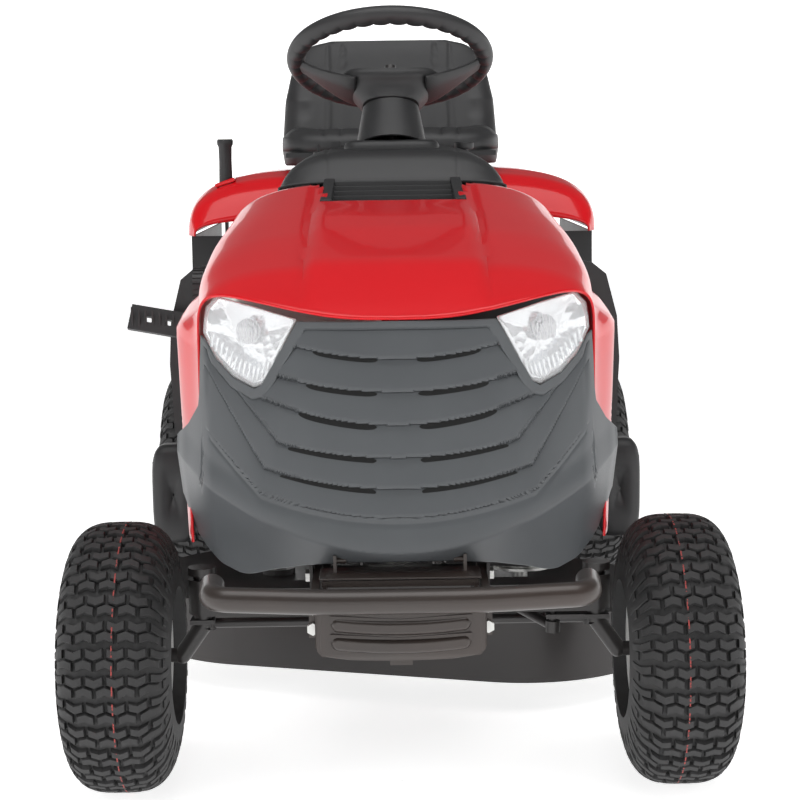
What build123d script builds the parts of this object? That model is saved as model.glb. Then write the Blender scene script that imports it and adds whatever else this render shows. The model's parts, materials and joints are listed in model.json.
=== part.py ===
"""Riding lawn mower: a garden tractor with a steered front axle, a side-by-side twin blade deck and rear drive.

Row frame: +Z up, the mower faces -Y, +X is its left-hand side, the ground is z = 0.
Every y below is counted from the front axle, and place() moves the finished pieces to the row frame.
"""
from build123d import *
import os
from math import cos, pi, radians, sin, tan

# ---- driving dimensions, millimetres and degrees -------------------------------------------------
WHEELBASE = 1200.0
FRONT_REACH = 345.5          # front axle to the bumper's foremost point
REAR_REACH = 1500.0          # front axle to the tow hitch's rearmost point
SHIFT_Y = (FRONT_REACH - REAR_REACH) / 2

FRONT_R, FRONT_W, FRONT_TRACK = 186.0, 152.0, 382.6      # tyre radius, width and half track
REAR_R, REAR_W, REAR_TRACK = 228.0, 212.0, 354.8
FRONT_RIM_R, REAR_RIM_R = 80.0, 104.0
KINGPIN_X = 272.0
BEAM_LOW, BEAM_HIGH = 246.0, 284.0
ARM_LOW, ARM_HIGH = 232.0, 238.0
TIE_ARM = (0.0, 80.0)        # kingpin to tie rod joint
DRAG_ARM = 60.0              # kingpin to drag link joint, inwards

RAIL_X, RAIL_W, RAIL_LOW, RAIL_HIGH = 95.0, 20.0, 300.0, 360.0
PLATE_T = 6.0
SHEET_T = 3.0
SKIN_T = 4.0                 # moulded plastic panels
FIT = 0.05                   # radial running clearance
GAP = 0.5                    # clearance between bodies that only pass each other

COLUMN_TILT = 24.0
WHEEL_CENTRE = (600.0, 1022.0)                           # y, z of the steering wheel's centre
STEER_R, STEER_TUBE = 157.0, 14.0
GEAR_MODULE, PINION_TEETH, SECTOR_TEETH = 3.5, 8, 48
PINION_Z = 262.0

BLADE_L = 418.0
BLADE_CENTRES = {"left": (205.0, 525.0), "right": (-205.0, 645.0)}
DECK_LOW, DECK_TOP = 48.0, 150.0
DECK_SKIRT_R = 225.0
PIVOT_Z = 266.0              # front axle pivot pin
ENGINE_Y = 62.0              # crankshaft
HOOD_HINGE = (-270.0, 378.0)  # y, z of the bonnet's hinge bolts


# ---- small helpers -------------------------------------------------------------------------------
def outline(points, radius=0.0):
    """Closed flat outline through points, every corner rounded by the same radius."""
    face = make_face(Polyline(*[(p[0], p[1]) for p in points], close=True))
    return fillet(face.vertices(), radius) if radius else face


def mirrored(points):
    """Half outline (x >= 0) closed by its mirror image."""
    return list(points) + [(-x, z) for x, z in reversed(points) if x > 0]


def across_x(shape, x0, x1):
    """A sketch in (y, z) carried from x0 to x1."""
    return extrude(Plane(origin=(x0, 0, 0), x_dir=(0, 1, 0), z_dir=(1, 0, 0)) * shape, amount=x1 - x0)


def along_y(shape, y0, y1):
    """A sketch in (x, z) carried from y0 to y1."""
    return extrude(Plane(origin=(0, y1, 0), x_dir=(1, 0, 0), z_dir=(0, -1, 0)) * shape, amount=y1 - y0)


def up_z(shape, z0, z1):
    """A sketch in (x, y) carried from z0 to z1."""
    return extrude(Plane.XY.offset(z0) * shape, amount=z1 - z0)


def block(x0, x1, y0, y1, z0, z1):
    """A box between two corners."""
    return Pos((x0 + x1) / 2, (y0 + y1) / 2, (z0 + z1) / 2) * Box(x1 - x0, y1 - y0, z1 - z0)


def rod(start, end, radius):
    """A round bar between two points."""
    line = Vector(*end) - Vector(*start)
    return Plane(origin=start, z_dir=line) * Cylinder(
        radius, line.length, align=(Align.CENTER, Align.CENTER, Align.MIN))


def mirror_x(shape):
    return mirror(shape, about=Plane.YZ)


def both_sides(shape):
    """The piece and its mirror image, as separate solids."""
    return Compound([*shape.solids(), *mirror_x(shape).solids()])


def pieces(*shapes):
    """Separate solids kept in one node."""
    solids = [solid for shape in shapes for solid in shape.solids()]
    return Compound(solids)


def revolved_x(points, x0):
    """A profile of (x, radius) points turned about the X axis, its x counted from x0."""
    profile = make_face(Polyline(*[(x0 + x, r) for x, r in points], close=True))
    return revolve(profile, axis=Axis.X)


# ---- wheels --------------------------------------------------------------------------------------
def tyre(radius, width, rim_radius, x0, y0):
    """Balloon tyre: crowned tread, round shoulders, bulged sidewalls and an open bead."""
    half = width / 2
    crown = radius - rim_radius
    profile = [(-half * 0.72, rim_radius + 1), (-half * 0.98, rim_radius + crown * 0.25),
               (-half, rim_radius + crown * 0.55), (-half * 0.90, radius - crown * 0.16),
               (-half * 0.62, radius - crown * 0.03), (-half * 0.25, radius), (half * 0.25, radius),
               (half * 0.62, radius - crown * 0.03), (half * 0.90, radius - crown * 0.16),
               (half, rim_radius + crown * 0.55), (half * 0.98, rim_radius + crown * 0.25),
               (half * 0.72, rim_radius + 1)]
    inner = [(x * (half - 9) / half, r - 9 if r > rim_radius + 5 else r - 1) for x, r in profile]
    wall = revolved_x(profile, x0) - revolved_x(inner, x0)
    return Pos(0, y0, radius) * wall


def rim(radius, width, rim_radius, x0, y0, side, bore, dish, hub_length):
    """Pressed steel rim: drop centre barrel with bead flanges, a dished disc and a hub tube."""
    half = width * 0.36
    barrel = [(-half - 3, rim_radius + 9), (-half, rim_radius), (-half + 25, rim_radius), (-half + 34, rim_radius - 14),
              (half - 34, rim_radius - 14), (half - 25, rim_radius), (half, rim_radius), (half + 3, rim_radius + 9),
              (half + 3, rim_radius + 6), (half + 3, rim_radius - 4), (half - 23, rim_radius - 4),
              (half - 32, rim_radius - 18), (-half + 32, rim_radius - 18), (-half + 23, rim_radius - 4),
              (-half - 3, rim_radius - 4)]
    shell = revolved_x(barrel, x0)
    disc = revolved_x([(dish, bore), (dish, rim_radius - 16), (dish + 4, rim_radius - 16), (dish + 4, bore)], x0)
    hub = revolved_x([(-hub_length / 2, bore), (-hub_length / 2, bore + 9),
                      (hub_length / 2, bore + 9), (hub_length / 2, bore)], x0)
    holes = [Pos(x0 + dish, 0, 0) * Rot(90 * k + 45, 0, 0) * Pos(0, 0, rim_radius * 0.58) * Rot(0, 90, 0)
             * Cylinder(rim_radius * 0.13, 40) for k in range(4)]
    whole = shell + disc + hub
    for hole in holes:
        whole -= hole
    whole = whole if side > 0 else Pos(2 * x0, 0, 0) * mirror_x(whole)
    return Pos(0, y0, radius) * whole


def wheel_pair(name, radius, width, rim_radius, x0, y0, bore, dish, hub_length):
    """Tyres and rims of one axle."""
    made = {}
    for word, side in (("left", 1), ("right", -1)):
        made[f"{name}_{word}_tyre"] = tyre(radius, width, rim_radius, side * x0, y0)
        made[f"{name}_{word}_rim"] = rim(radius, width, rim_radius, side * x0, y0, side, bore, dish, hub_length)
    return made


# ---- front axle and steering ---------------------------------------------------------------------
def front_axle_beam():
    """Pressed beam with a pivot bore at its middle and a kingpin tube at each end."""
    beam = block(-KINGPIN_X, KINGPIN_X, -24, 24, BEAM_LOW, BEAM_HIGH)
    beam -= block(-KINGPIN_X, KINGPIN_X, -20, 20, BEAM_LOW - 1, BEAM_HIGH - 4)
    boss = Pos(0, 0, PIVOT_Z) * Rot(90, 0, 0) * Cylinder(22, 60)
    beam += boss
    for side in (-1, 1):
        beam += Pos(side * KINGPIN_X, 0, (BEAM_LOW + BEAM_HIGH) / 2 + 5) * Cylinder(19, BEAM_HIGH - BEAM_LOW + 10)
        beam -= Pos(side * KINGPIN_X, 0, BEAM_HIGH) * Cylinder(12 + FIT, 120)
    return beam - Pos(0, 0, PIVOT_Z) * Rot(90, 0, 0) * Cylinder(10 + FIT, 80)


def knuckle(side):
    """Kingpin bent outwards to the stub axle, a cap on top and the steering arms below the beam."""
    x = side * KINGPIN_X
    hub_x = side * (FRONT_TRACK + 45)
    body = rod((x, 0, ARM_LOW - 6), (x, 0, BEAM_HIGH + 24), 12)
    body += rod((x, 0, ARM_LOW - 4), (x + side * 30, 0, FRONT_R), 12)
    body += Pos(x + side * 30, 0, FRONT_R) * Sphere(12)
    body += rod((x + side * 30, 0, FRONT_R), (hub_x, 0, FRONT_R), 10)
    body += Pos(x, 0, BEAM_HIGH + 15 + GAP + 6) * Cylinder(19, 10)
    arm_x = x + side * TIE_ARM[0]
    plate = Polyline((x - 17, -14), (x + 17, -14), (arm_x + 13, TIE_ARM[1] + 10), (arm_x - 13, TIE_ARM[1] + 10),
                     close=True)
    body += up_z(make_face(plate), ARM_LOW, ARM_HIGH)
    if side > 0:
        inner = x - DRAG_ARM
        body += block(inner - 10, x, -12, 12, ARM_LOW, ARM_HIGH)
        body -= Pos(inner, 0, ARM_LOW) * Cylinder(5 + FIT, 40)
    return body - Pos(arm_x, TIE_ARM[1], ARM_LOW) * Cylinder(5 + FIT, 40)


def tie_rod():
    """Bar behind the beam that joins the two steering arms, with a stud at each end."""
    reach = KINGPIN_X + TIE_ARM[0]
    z = ARM_LOW - 22
    bar = rod((-reach, TIE_ARM[1], z), (reach, TIE_ARM[1], z), 7)
    for x in (-reach, reach):
        bar += Pos(x, TIE_ARM[1], z) * Cylinder(10, 18)
        bar += Pos(x, TIE_ARM[1], z + 18) * Cylinder(5, 36)
    return bar


def column_point(z):
    """Point on the steering column's line at height z."""
    y, top = WHEEL_CENTRE
    return (0, y - (top - z) * tan(radians(COLUMN_TILT)), z)


SHAFT_AXIS = (0, sin(radians(COLUMN_TILT)), cos(radians(COLUMN_TILT)))
ACROSS = (0, -cos(radians(COLUMN_TILT)), sin(radians(COLUMN_TILT)))
GEAR_SPAN = GEAR_MODULE * (PINION_TEETH + SECTOR_TEETH) / 2


def sector_pivot():
    """Point on the sector gear's own axis, level with the pinion's middle along the shaft."""
    start = column_point(PINION_Z)
    return tuple(s + GEAR_SPAN * a for s, a in zip(start, ACROSS))


def gear_outline(teeth, phase, first=0, last=None):
    """Straight-flanked teeth with backlash, round a root circle; a sector has teeth first to last only."""
    pitch = GEAR_MODULE * teeth / 2
    root, tip = pitch - 1.3 * GEAR_MODULE, pitch + 0.8 * GEAR_MODULE
    last = teeth if last is None else last
    step = 2 * pi / teeth
    points = []
    for k in range(first, last):
        angle = phase + k * step
        for share, r in ((-0.33, root), (-0.11, tip), (0.11, tip), (0.33, root)):
            points.append((r * cos(angle + share * step), r * sin(angle + share * step)))
    return points


def drag_end():
    """Rear end of the drag link, below the hole in the sector's arm."""
    x, y, z = sector_pivot()
    return (x + DRAG_ARM, y, z - 33)


def drag_link():
    """Bar from the left knuckle to the sector's arm; its rear end passes under the arm's hole."""
    start = (KINGPIN_X - DRAG_ARM, 0, ARM_LOW - 13)
    link = rod(start, drag_end(), 7)
    link += Pos(*start) * Cylinder(10, 16) + Pos(start[0], start[1], start[2] + 13) * Cylinder(5, 26)
    return link + Pos(*drag_end()) * Cylinder(10, 14)


def shaft_plane(point):
    """Plane square to the steering shaft, its local x axis pointing from the pinion to the sector."""
    return Plane(origin=point, x_dir=ACROSS, z_dir=SHAFT_AXIS)


def sector_gear():
    """Toothed quadrant with a hub and the arm that pushes the drag link."""
    count = 17
    half = (count - 1) / 2
    step = 2 * pi / SECTOR_TEETH
    teeth = gear_outline(SECTOR_TEETH, pi - half * step, 0, count)
    wedge = make_face(Polyline((18, -16), *reversed(teeth), (18, 16), close=True))
    gear = extrude(wedge, amount=6, both=True)
    gear += Cylinder(16, 22)
    gear += Pos(0, DRAG_ARM / 2, 0) * Box(20, DRAG_ARM, 8)
    gear += Pos(0, DRAG_ARM, 0) * Cylinder(12, 8)
    gear -= Cylinder(8 + FIT, 60)
    return shaft_plane(sector_pivot()) * gear


def steering_shaft():
    """Column shaft with its pinion at the lower end."""
    low, high = column_point(PINION_Z - 20), column_point(WHEEL_CENTRE[1] - 12)
    points = gear_outline(PINION_TEETH, pi / PINION_TEETH)
    pinion = extrude(make_face(Polyline(*points, close=True)), amount=9, both=True)
    return rod(low, high, 9) + shaft_plane(column_point(PINION_Z)) * pinion


def steering_wheel():
    """Rim, a broad V of two spokes and the hub cup, square to the column."""
    ring = Torus(STEER_R, STEER_TUBE)
    hub = Pos(0, 0, -22) * Cone(30, 46, 50)
    wheel = ring + hub
    for turn in (38, 142):
        arm = Pos(0, 0, -11) * Rot(0, 0, turn) * Pos(STEER_R / 2 + 8, 0, 0) * Box(STEER_R - 26, 44, 9)
        wheel += arm
    wheel -= Pos(0, 0, -41) * Cylinder(9.3, 60)
    return Plane(origin=(0, *WHEEL_CENTRE), x_dir=(1, 0, 0), z_dir=SHAFT_AXIS) * wheel


# ---- chassis -------------------------------------------------------------------------------------
def frame_rail(side):
    """Pressed channel, open inwards."""
    outer = block(RAIL_X, RAIL_X + RAIL_W, -190, 1400, RAIL_LOW, RAIL_HIGH)
    rail = outer - block(RAIL_X - 1, RAIL_X + RAIL_W - 4, -191, 1401, RAIL_LOW + 4, RAIL_HIGH - 4)
    return rail if side > 0 else mirror_x(rail)


def engine_plate():
    """Plate across the rails with the crankshaft's opening."""
    plate = block(-150, 150, -180, 250, RAIL_HIGH, RAIL_HIGH + PLATE_T)
    return plate - Pos(0, ENGINE_Y, RAIL_HIGH) * Cylinder(30, 40) - block(-20, 20, 225, 260, 350, 370)


def rear_plate():
    """Rear wall of the chassis and the bracket that carries the seat and fender."""
    plate = block(-190, 190, 1400, 1400 + PLATE_T, 220, 620)
    plate += block(-190, 190, 1000, 1400, 614, 620)
    for x in (-190, 184):
        plate += block(x, x + PLATE_T, 1000, 1400, RAIL_HIGH, 620)
    for x in (-RAIL_X - RAIL_W, RAIL_X):
        plate += block(min(x, x + RAIL_W), max(x, x + RAIL_W), 1080, 1120, RAIL_HIGH, 614)
    for x in (-120, 120):
        for z in (300 - 50, 300 + 250):
            plate -= Pos(x, 1403, z) * Rot(90, 0, 0) * Cylinder(5.5, 30)
    return plate


def tow_hitch_plate():
    """Drawbar plate with a pin hole."""
    sketch = outline([(-60, 1406), (60, 1406), (38, REAR_REACH), (-38, REAR_REACH)])
    plate = up_z(sketch, 250, 258)
    return plate - Pos(0, REAR_REACH - 30, 254) * Cylinder(9.5, 30)


def front_bumper():
    """Tube bowed forward, its ends curled back, on two stays."""
    tube_r, half, z = 15.5, 232.0, 340.0
    nose = -FRONT_REACH + tube_r
    path = FilletPolyline((-half - 3, -235, z), (-half + 2, -306, z), (-90, nose, z), (90, nose, z),
                          (half - 2, -306, z), (half + 3, -235, z), radius=[30, 400, 400, 30])
    start = Plane(origin=path @ 0, z_dir=path % 0)
    tube = sweep(start * Circle(tube_r), path=path)
    for x in (-RAIL_X - 14, RAIL_X + 4):
        tube += block(x, x + 10, -320, -150, 322, 350)
    return tube


def guard_plate():
    """Pressed skid plate below the bumper, with flanges and two bowed ribs, and a cooling pan above the bar."""
    half = 103.0
    lower = outline(mirrored([(0, 259), (60, 261), (half - 6, 265), (half, 272), (half, 322), (0, 322)]))
    plate = along_y(lower, -302, -299)
    for z in (285, 308):
        plate += along_y(outline([(-86, z), (0, z - 5), (86, z), (86, z + 9), (0, z + 4), (-86, z + 9)]), -307, -302)
    plate += both_sides(block(half - 3, half, -302, -235, 272, 322))
    plate += both_sides(block(half - 3, half + 12, -238, -235, 272, 322))
    plate += block(-96, 96, -296, -236, 350, 358)
    plate += both_sides(block(90, 94, -299, -238, 322, 354))
    plate += both_sides(block(78, 82, HOOD_HINGE[0] - 7, HOOD_HINGE[0] + 7, 356, HOOD_HINGE[1] + 7))
    plate += both_sides(rod((66, *HOOD_HINGE), (80, *HOOD_HINGE), 4))
    return plate + along_y(outline([(-14, 244), (14, 244), (14, 262), (-14, 262)]), -270, -267)


def axle_bracket():
    """Front crossmember under the rails, with the pin that the beam swings on."""
    bracket = block(-115, 115, 34, 40, 240, RAIL_LOW) + block(-115, 115, -40, -34, 240, RAIL_LOW)
    bracket += block(-115, 115, -40, 40, RAIL_LOW - 4, RAIL_LOW)
    return bracket + Pos(0, 0, PIVOT_Z) * Rot(90, 0, 0) * Cylinder(10, 88)


def bolts():
    """Hexagon bolts of the guard plate, bumper stays and rear plate."""
    head = RegularPolygon(8, 6)
    made = []
    for side in (-1, 1):
        for z in (284, 310):
            made.append(Plane(origin=(side * 110, -238, z), z_dir=(0, -1, 0)) * extrude(head, amount=6))
        made.append(Plane(origin=(side * 115, -170, 336), z_dir=(side, 0, 0)) * extrude(head, amount=6))
        for y in (1150, 1260, 1370):
            made.append(Plane(origin=(side * 190, y, 600), z_dir=(side, 0, 0)) * extrude(head, amount=6))
    return pieces(*made)


# ---- bonnet and grille ---------------------------------------------------------------------------
FRONT_VIEW = [(0, 385), (60, 383), (119, 366), (160, 351), (194, 333), (230, 341), (278, 379), (286, 420), (287, 612),
              (264, 668), (252, 696), (244, 763), (232, 786), (212, 807), (180, 821), (140, 829), (0, 833)]
SIDE_VIEW = [(-196, 333), (-292, 392), (-284, 440), (-272, 600), (-264, 668), (-248, 692), (-215, 708), (-150, 727),
             (0, 766), (180, 806), (300, 833), (300, 430), (60, 372), (-60, 340), (-120, 333)]
PLAN_VIEW = [(0, -292), (110, -280), (180, -240), (226, -190), (252, -140), (272, -80), (287, 0), (287, 120),
             (262, 240), (254, 300), (0, 300)]
MASK_VIEW = [(0, 674), (122, 672), (228, 693), (243, 690), (247, 560), (300, 505), (300, 320), (0, 320)]
LENS_VIEW = [(122, 671), (226, 690), (241, 672), (240, 645), (224, 620), (200, 597), (175, 585), (166, 590)]


def nose_body(inset):
    """Common volume of the front, side and plan outlines, all drawn in by the inset."""
    def face(points):
        flat = outline(points)
        return offset(flat, amount=-inset, kind=Kind.INTERSECTION) if inset else flat

    front = along_y(face(mirrored(FRONT_VIEW)), -400, 400)
    side = across_x(face(SIDE_VIEW), -400, 400)
    plan = up_z(face(mirrored(PLAN_VIEW)), 200, 1000)
    return front & side & plan


def nose_shell():
    """Thin-walled nose, open below and behind."""
    inner = nose_body(SKIN_T)
    shell = nose_body(0) - inner
    shell -= block(-245, 245, 290, 310, 340, 800)
    opening = outline([(-180, 320), (320, 320), (320, 446), (60, 388), (-60, 376), (-180, 376)])
    shell -= across_x(opening, -250, 250)
    return shell - block(-110, 110, -190, 310, 330, 420)


def bonnet_parts():
    """Bonnet shell, grille mask, headlight lenses and reflectors, cut from one nose."""
    shell = nose_shell()
    mask_zone = along_y(outline(mirrored(MASK_VIEW)), -400, -60)
    lens_zone = both_sides(along_y(outline(LENS_VIEW), -400, -90))
    mask = shell & mask_zone
    hood = shell - mask_zone
    lenses = mask & lens_zone
    mask = mask - lens_zone
    for row, (z, outer) in enumerate(((641, 100), (600, 104), (556, 108), (510, 118), (465, 124))):
        lift = 2.5 * row
        slot = along_y(outline([(26, z - 5), (outer, z + lift), (outer, z + 8 + lift), (26, z + 3)]), -400, -180)
        mask = mask - slot - mirror_x(slot)
    dome = across_x(outline([(-215, 706), (-150, 737), (170, 811), (176, 800), (-140, 726)]), -110, 110)
    hood = hood + (dome - nose_body(1.0))
    hood -= block(-104, 104, 176, 320, 780, 900)
    y, z = HOOD_HINGE
    lug = block(70, 74, y - 17, y + 8, z - 8, z + 24) - rod((60, y, z), (90, y, z), 4 + FIT)
    mask -= both_sides(block(76, 84, y - 12, y + 12, z - 14, z + 12))
    mask -= both_sides(block(64, 76, y - 6, y + 6, z - 14, z + 6))
    return hood, mask + both_sides(lug), lenses


def headlight_reflectors():
    """Shallow bowls with a bulb, one behind each lens."""
    plate = along_y(outline([(140, 661), (216, 676), (228, 655), (212, 622), (178, 600)]), -172, -160)
    plate = plate & nose_body(SKIN_T + 4)
    bowl = Plane(origin=(186, -160, 652), z_dir=(0.35, -1, 0)) * (
        Cylinder(24, 26) - Pos(0, 0, 6) * Cylinder(20, 30)) + Plane(
            origin=(186, -160, 652), z_dir=(0.35, -1, 0)) * Cylinder(8, 24)
    return both_sides(pieces(plate + bowl).solids()[0])


# ---- console, floor and fender -------------------------------------------------------------------
def console_shell():
    """Tower behind the bonnet with a leg shield spreading to each side."""
    shield = outline(mirrored([(0, 440), (352, 432), (358, 541), (354, 610), (337, 676), (315, 694), (280, 702),
                               (235, 716), (196, 760), (180, 800), (0, 800)]))
    wall = along_y(shield, 430, 434)
    tower = across_x(outline([(434, 372), (434, 800), (560, 840), (590, 800), (560, 372)]), -130, 130)
    tower -= across_x(outline([(420, 360), (420, 812), (556, 834), (584, 798), (554, 360)]), -126, 126)
    lip = both_sides(along_y(outline([(350, 436), (354, 436), (358, 541), (354, 610), (337, 676), (333, 674), (350, 608),
                                      (354, 541)]), 434, 500))
    whole = wall + tower + lip
    whole -= rod((-150, *PEDAL_PIVOT[1:]), (-110, *PEDAL_PIVOT[1:]), 9)
    return whole - Pos(*column_point(820)) * Rot(-COLUMN_TILT, 0, 0) * Cylinder(34, 1200)


def dashboard():
    """Black instrument panel capping the tower, with a raised louvre lip towards the bonnet."""
    front = outline(mirrored([(0, 808), (177, 808), (176, 824), (160, 846), (140, 866), (118, 871), (0, 872)]))
    side = outline([(330, 808), (330, 836), (400, 826), (420, 860), (450, 872), (560, 880), (606, 862), (612, 808)])
    body = along_y(front, 300, 640) & across_x(side, -200, 200)
    inner = along_y(offset(front, amount=-SKIN_T, kind=Kind.INTERSECTION), 300, 640) & across_x(
        offset(side, amount=-SKIN_T, kind=Kind.INTERSECTION), -200, 200)
    body -= inner
    body -= block(-165, 165, 340, 600, 800, 812)
    body -= Pos(*column_point(870)) * Rot(-COLUMN_TILT, 0, 0) * Cylinder(30, 120)
    body += block(-96, 96, 318, 331, 808, 830)
    return body - Pos(-120, 585, 850) * Cylinder(9, 100) - Pos(120, 585, 850) * Cylinder(12, 100) - block(
        -96, -84, 520, 590, 850, 900)


def column_shroud():
    """Tapered sleeve round the steering shaft, standing on the dashboard."""
    shroud = Cone(58, 46, 70, align=(Align.CENTER, Align.CENTER, Align.MIN))
    shroud -= Pos(0, 0, -5) * Cone(54, 40, 80, align=(Align.CENTER, Align.CENTER, Align.MIN))
    shroud = Plane(origin=column_point(876), x_dir=(1, 0, 0), z_dir=SHAFT_AXIS) * shroud
    return shroud - block(-200, 200, 300, 800, 800, 881)


def floor_pan():
    """Footboards with turned-up edges, a central tunnel and the arches over the rear wheels."""
    board = block(150, 400, 434 + 66, 900, 330, 334) + block(396, 400, 500, 900, 334, 352)
    board += block(150, 400, 500, 504, 334, 372)
    tunnel_side = block(150, 154, 500, 900, 334, 470)
    arch_front = block(150, 366, 896, 900, 334, 600)
    skirt = across_x(outline([(896, 560), (900, 722), (1484, 722), (1470, 560), (1420, 500), (1180, 490), (980, 500)]),
                     362, 366)
    side = board + tunnel_side + arch_front + skirt
    side += block(192, 366, 896, 900, 334, 722)
    top = block(-154, 154, 640, 900, 466, 470) + block(-192, 192, 896, 900, 466, 722)
    return side + mirror_x(side) + top


def rear_fender():
    """Red shell over both rear wheels with a raised seat platform."""
    front = mirrored([(0, 700), (370, 724), (366, 748), (355, 776), (325, 797), (285, 818), (235, 835), (180, 838),
                      (0, 838)])
    side = [(850, 700), (862, 790), (890, 826), (960, 838), (1330, 838), (1430, 826), (1484, 780), (1494, 700)]
    outer = along_y(outline(front), 700, 1600) & across_x(outline(side), -400, 400)
    inner_front = offset(outline(front), amount=-SKIN_T, kind=Kind.INTERSECTION)
    inner_side = offset(outline(side), amount=-SKIN_T, kind=Kind.INTERSECTION)
    inner = along_y(inner_front, 700, 1600) & across_x(inner_side, -400, 400)
    shell = outer - inner - block(-362, 362, 854, 1489, 690, 726)
    return shell - block(LEVER[0] - 18, LEVER[0] + 18, 912, 1072, 740, 860)


# ---- engine bay ----------------------------------------------------------------------------------
def engine_block():
    """Vertical-shaft crankcase with the finned cylinder lying forward."""
    case = Pos(0, ENGINE_Y, 366) * Cylinder(105, 90, align=(Align.CENTER, Align.CENTER, Align.MIN))
    barrel = block(-55, 55, -150, -40, 376, 450)
    for k in range(6):
        barrel += block(-68, 68, -142 + 17 * k, -136 + 17 * k, 370, 456)
    head = block(-60, 60, -170, -150, 372, 454)
    return case + barrel + head - Pos(0, ENGINE_Y, 300) * Cylinder(14 + GAP, 400)


def blower_housing():
    """Fan cowl on top of the crankcase with a round screened intake."""
    cowl = Pos(0, ENGINE_Y, 457) * Cylinder(132, 110, align=(Align.CENTER, Align.CENTER, Align.MIN))
    cowl -= Pos(0, ENGINE_Y, 456) * Cylinder(127, 104, align=(Align.CENTER, Align.CENTER, Align.MIN))
    cowl -= Pos(0, ENGINE_Y, 550) * Cylinder(80, 60)
    for k in range(8):
        cowl += Pos(0, ENGINE_Y, 564) * Rot(0, 0, 22.5 * k) * Box(170, 4, 5)
    return cowl


def air_filter_cover():
    """Box of the air cleaner beside the cowl."""
    box = Pos(176, 60, 510) * fillet(Box(70, 150, 90).edges(), 10)
    return box


def muffler():
    """Round silencer across the front of the bay with its outlet pipe."""
    can = Plane(origin=(-90, -130, 500), z_dir=(1, 0, 0)) * Cylinder(38, 180, align=(
        Align.CENTER, Align.CENTER, Align.MIN))
    return can + rod((60, -130, 480), (60, -178, 470), 12) + rod((-70, -130, 500), (-70, -205, 480), 14)


def fuel_tank():
    """Moulded tank behind the bonnet with a filler neck to the right-hand side."""
    tank = Pos(-135, 366, 640) * fillet(Box(230, 80, 140).edges(), 14) + rod((-245, 366, 668), (-262, 366, 668), 24)
    tank += rod((-255, 366, 668), (-292, 366, 668), 24)
    return tank - rod((-240, 366, 668), (-293, 366, 668), 18)


def fuel_cap():
    """Ribbed screw cap of the filler neck with its plug."""
    cap = rod((-293, 366, 668), (-309, 366, 668), 32)
    for k in range(24):
        cap -= Pos(-301, 366, 668) * Rot(15 * k, 0, 0) * Pos(0, 0, 33) * Box(20, 3, 5)
    return cap + rod((-280, 366, 668), (-293, 366, 668), 18 - FIT)


def battery():
    """Starter battery with two posts."""
    case = block(120, 290, 330, 410, 380, 520) + block(126, 284, 334, 406, 520, 528)
    return case + Pos(145, 370, 534) * Cylinder(8, 14) + Pos(265, 370, 534) * Cylinder(8, 14)


def transaxle():
    """Gear case between the rails with the axle tubes and the input shaft with its pulley."""
    case = Pos(0, WHEELBASE, 228) * fillet(Box(170, 210, 110).edges(), 12)
    tubes = rod((-200, WHEELBASE, REAR_R), (200, WHEELBASE, REAR_R), 30)
    shaft = Pos(0, WHEELBASE - 60, 310) * Cylinder(9, 100)
    case += tubes + shaft + both_sides(block(75, RAIL_X + RAIL_W, WHEELBASE - 60, WHEELBASE + 60, 278, RAIL_LOW))
    case -= rod((-210, WHEELBASE, REAR_R), (210, WHEELBASE, REAR_R), 13 + FIT)
    pulley = Pos(0, WHEELBASE - 60, 347) * Cylinder(51.5, 16)
    for z in (339, 355):
        pulley += Pos(0, WHEELBASE - 60, z) * Cylinder(60, 3)
    return case + pulley


def axle_shaft(side):
    """Half shaft from the gear case to the wheel hub."""
    return rod((side * 4, WHEELBASE, REAR_R), (side * (REAR_TRACK + 60), WHEELBASE, REAR_R), 13)


def drive_belt():
    """Belt from the crankshaft's upper groove to the transaxle."""
    def ring(rear_r, front_r):
        return make_hull([*Circle(rear_r).moved(Location((0, WHEELBASE - 60))).edges(),
                          *Circle(front_r).moved(Location((0, ENGINE_Y))).edges()])
    return up_z(ring(60, 42.5), 342, 352) - up_z(ring(52, 34.5), 341, 353)


def crank_pulley():
    """Crankshaft with the two-groove pulley below and the fan on top."""
    shaft = Pos(0, ENGINE_Y, 304) * Cylinder(14, 230, align=(Align.CENTER, Align.CENTER, Align.MIN))
    wheel = Pos(0, ENGINE_Y, 331) * Cylinder(34, 50)
    for z in (356, 338, 320, 308):
        wheel += Pos(0, ENGINE_Y, z) * Cylinder(44, 4)
    fan = Pos(0, ENGINE_Y, 495) * Cylinder(110, 4)
    for k in range(12):
        fan += Pos(0, ENGINE_Y, 508) * Rot(0, 0, 30 * k) * Pos(85, 0, 0) * Box(50, 3, 24)
    return shaft + wheel + fan


# ---- mower deck ----------------------------------------------------------------------------------
def deck_plan(radius):
    """Two blade circles joined by a hull, with the rear tunnel between the rear wheels."""
    circles = [edge for x, y in BLADE_CENTRES.values() for edge in Circle(radius).moved(Location((x, y))).edges()]
    tunnel = make_face(Polyline((-radius * 0.6, 560), (radius * 0.6, 560), (radius * 0.6, 1000 - 225 + radius),
                                (-radius * 0.6, 1000 - 225 + radius), close=True))
    return Sketch() + make_hull(circles) + tunnel


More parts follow.
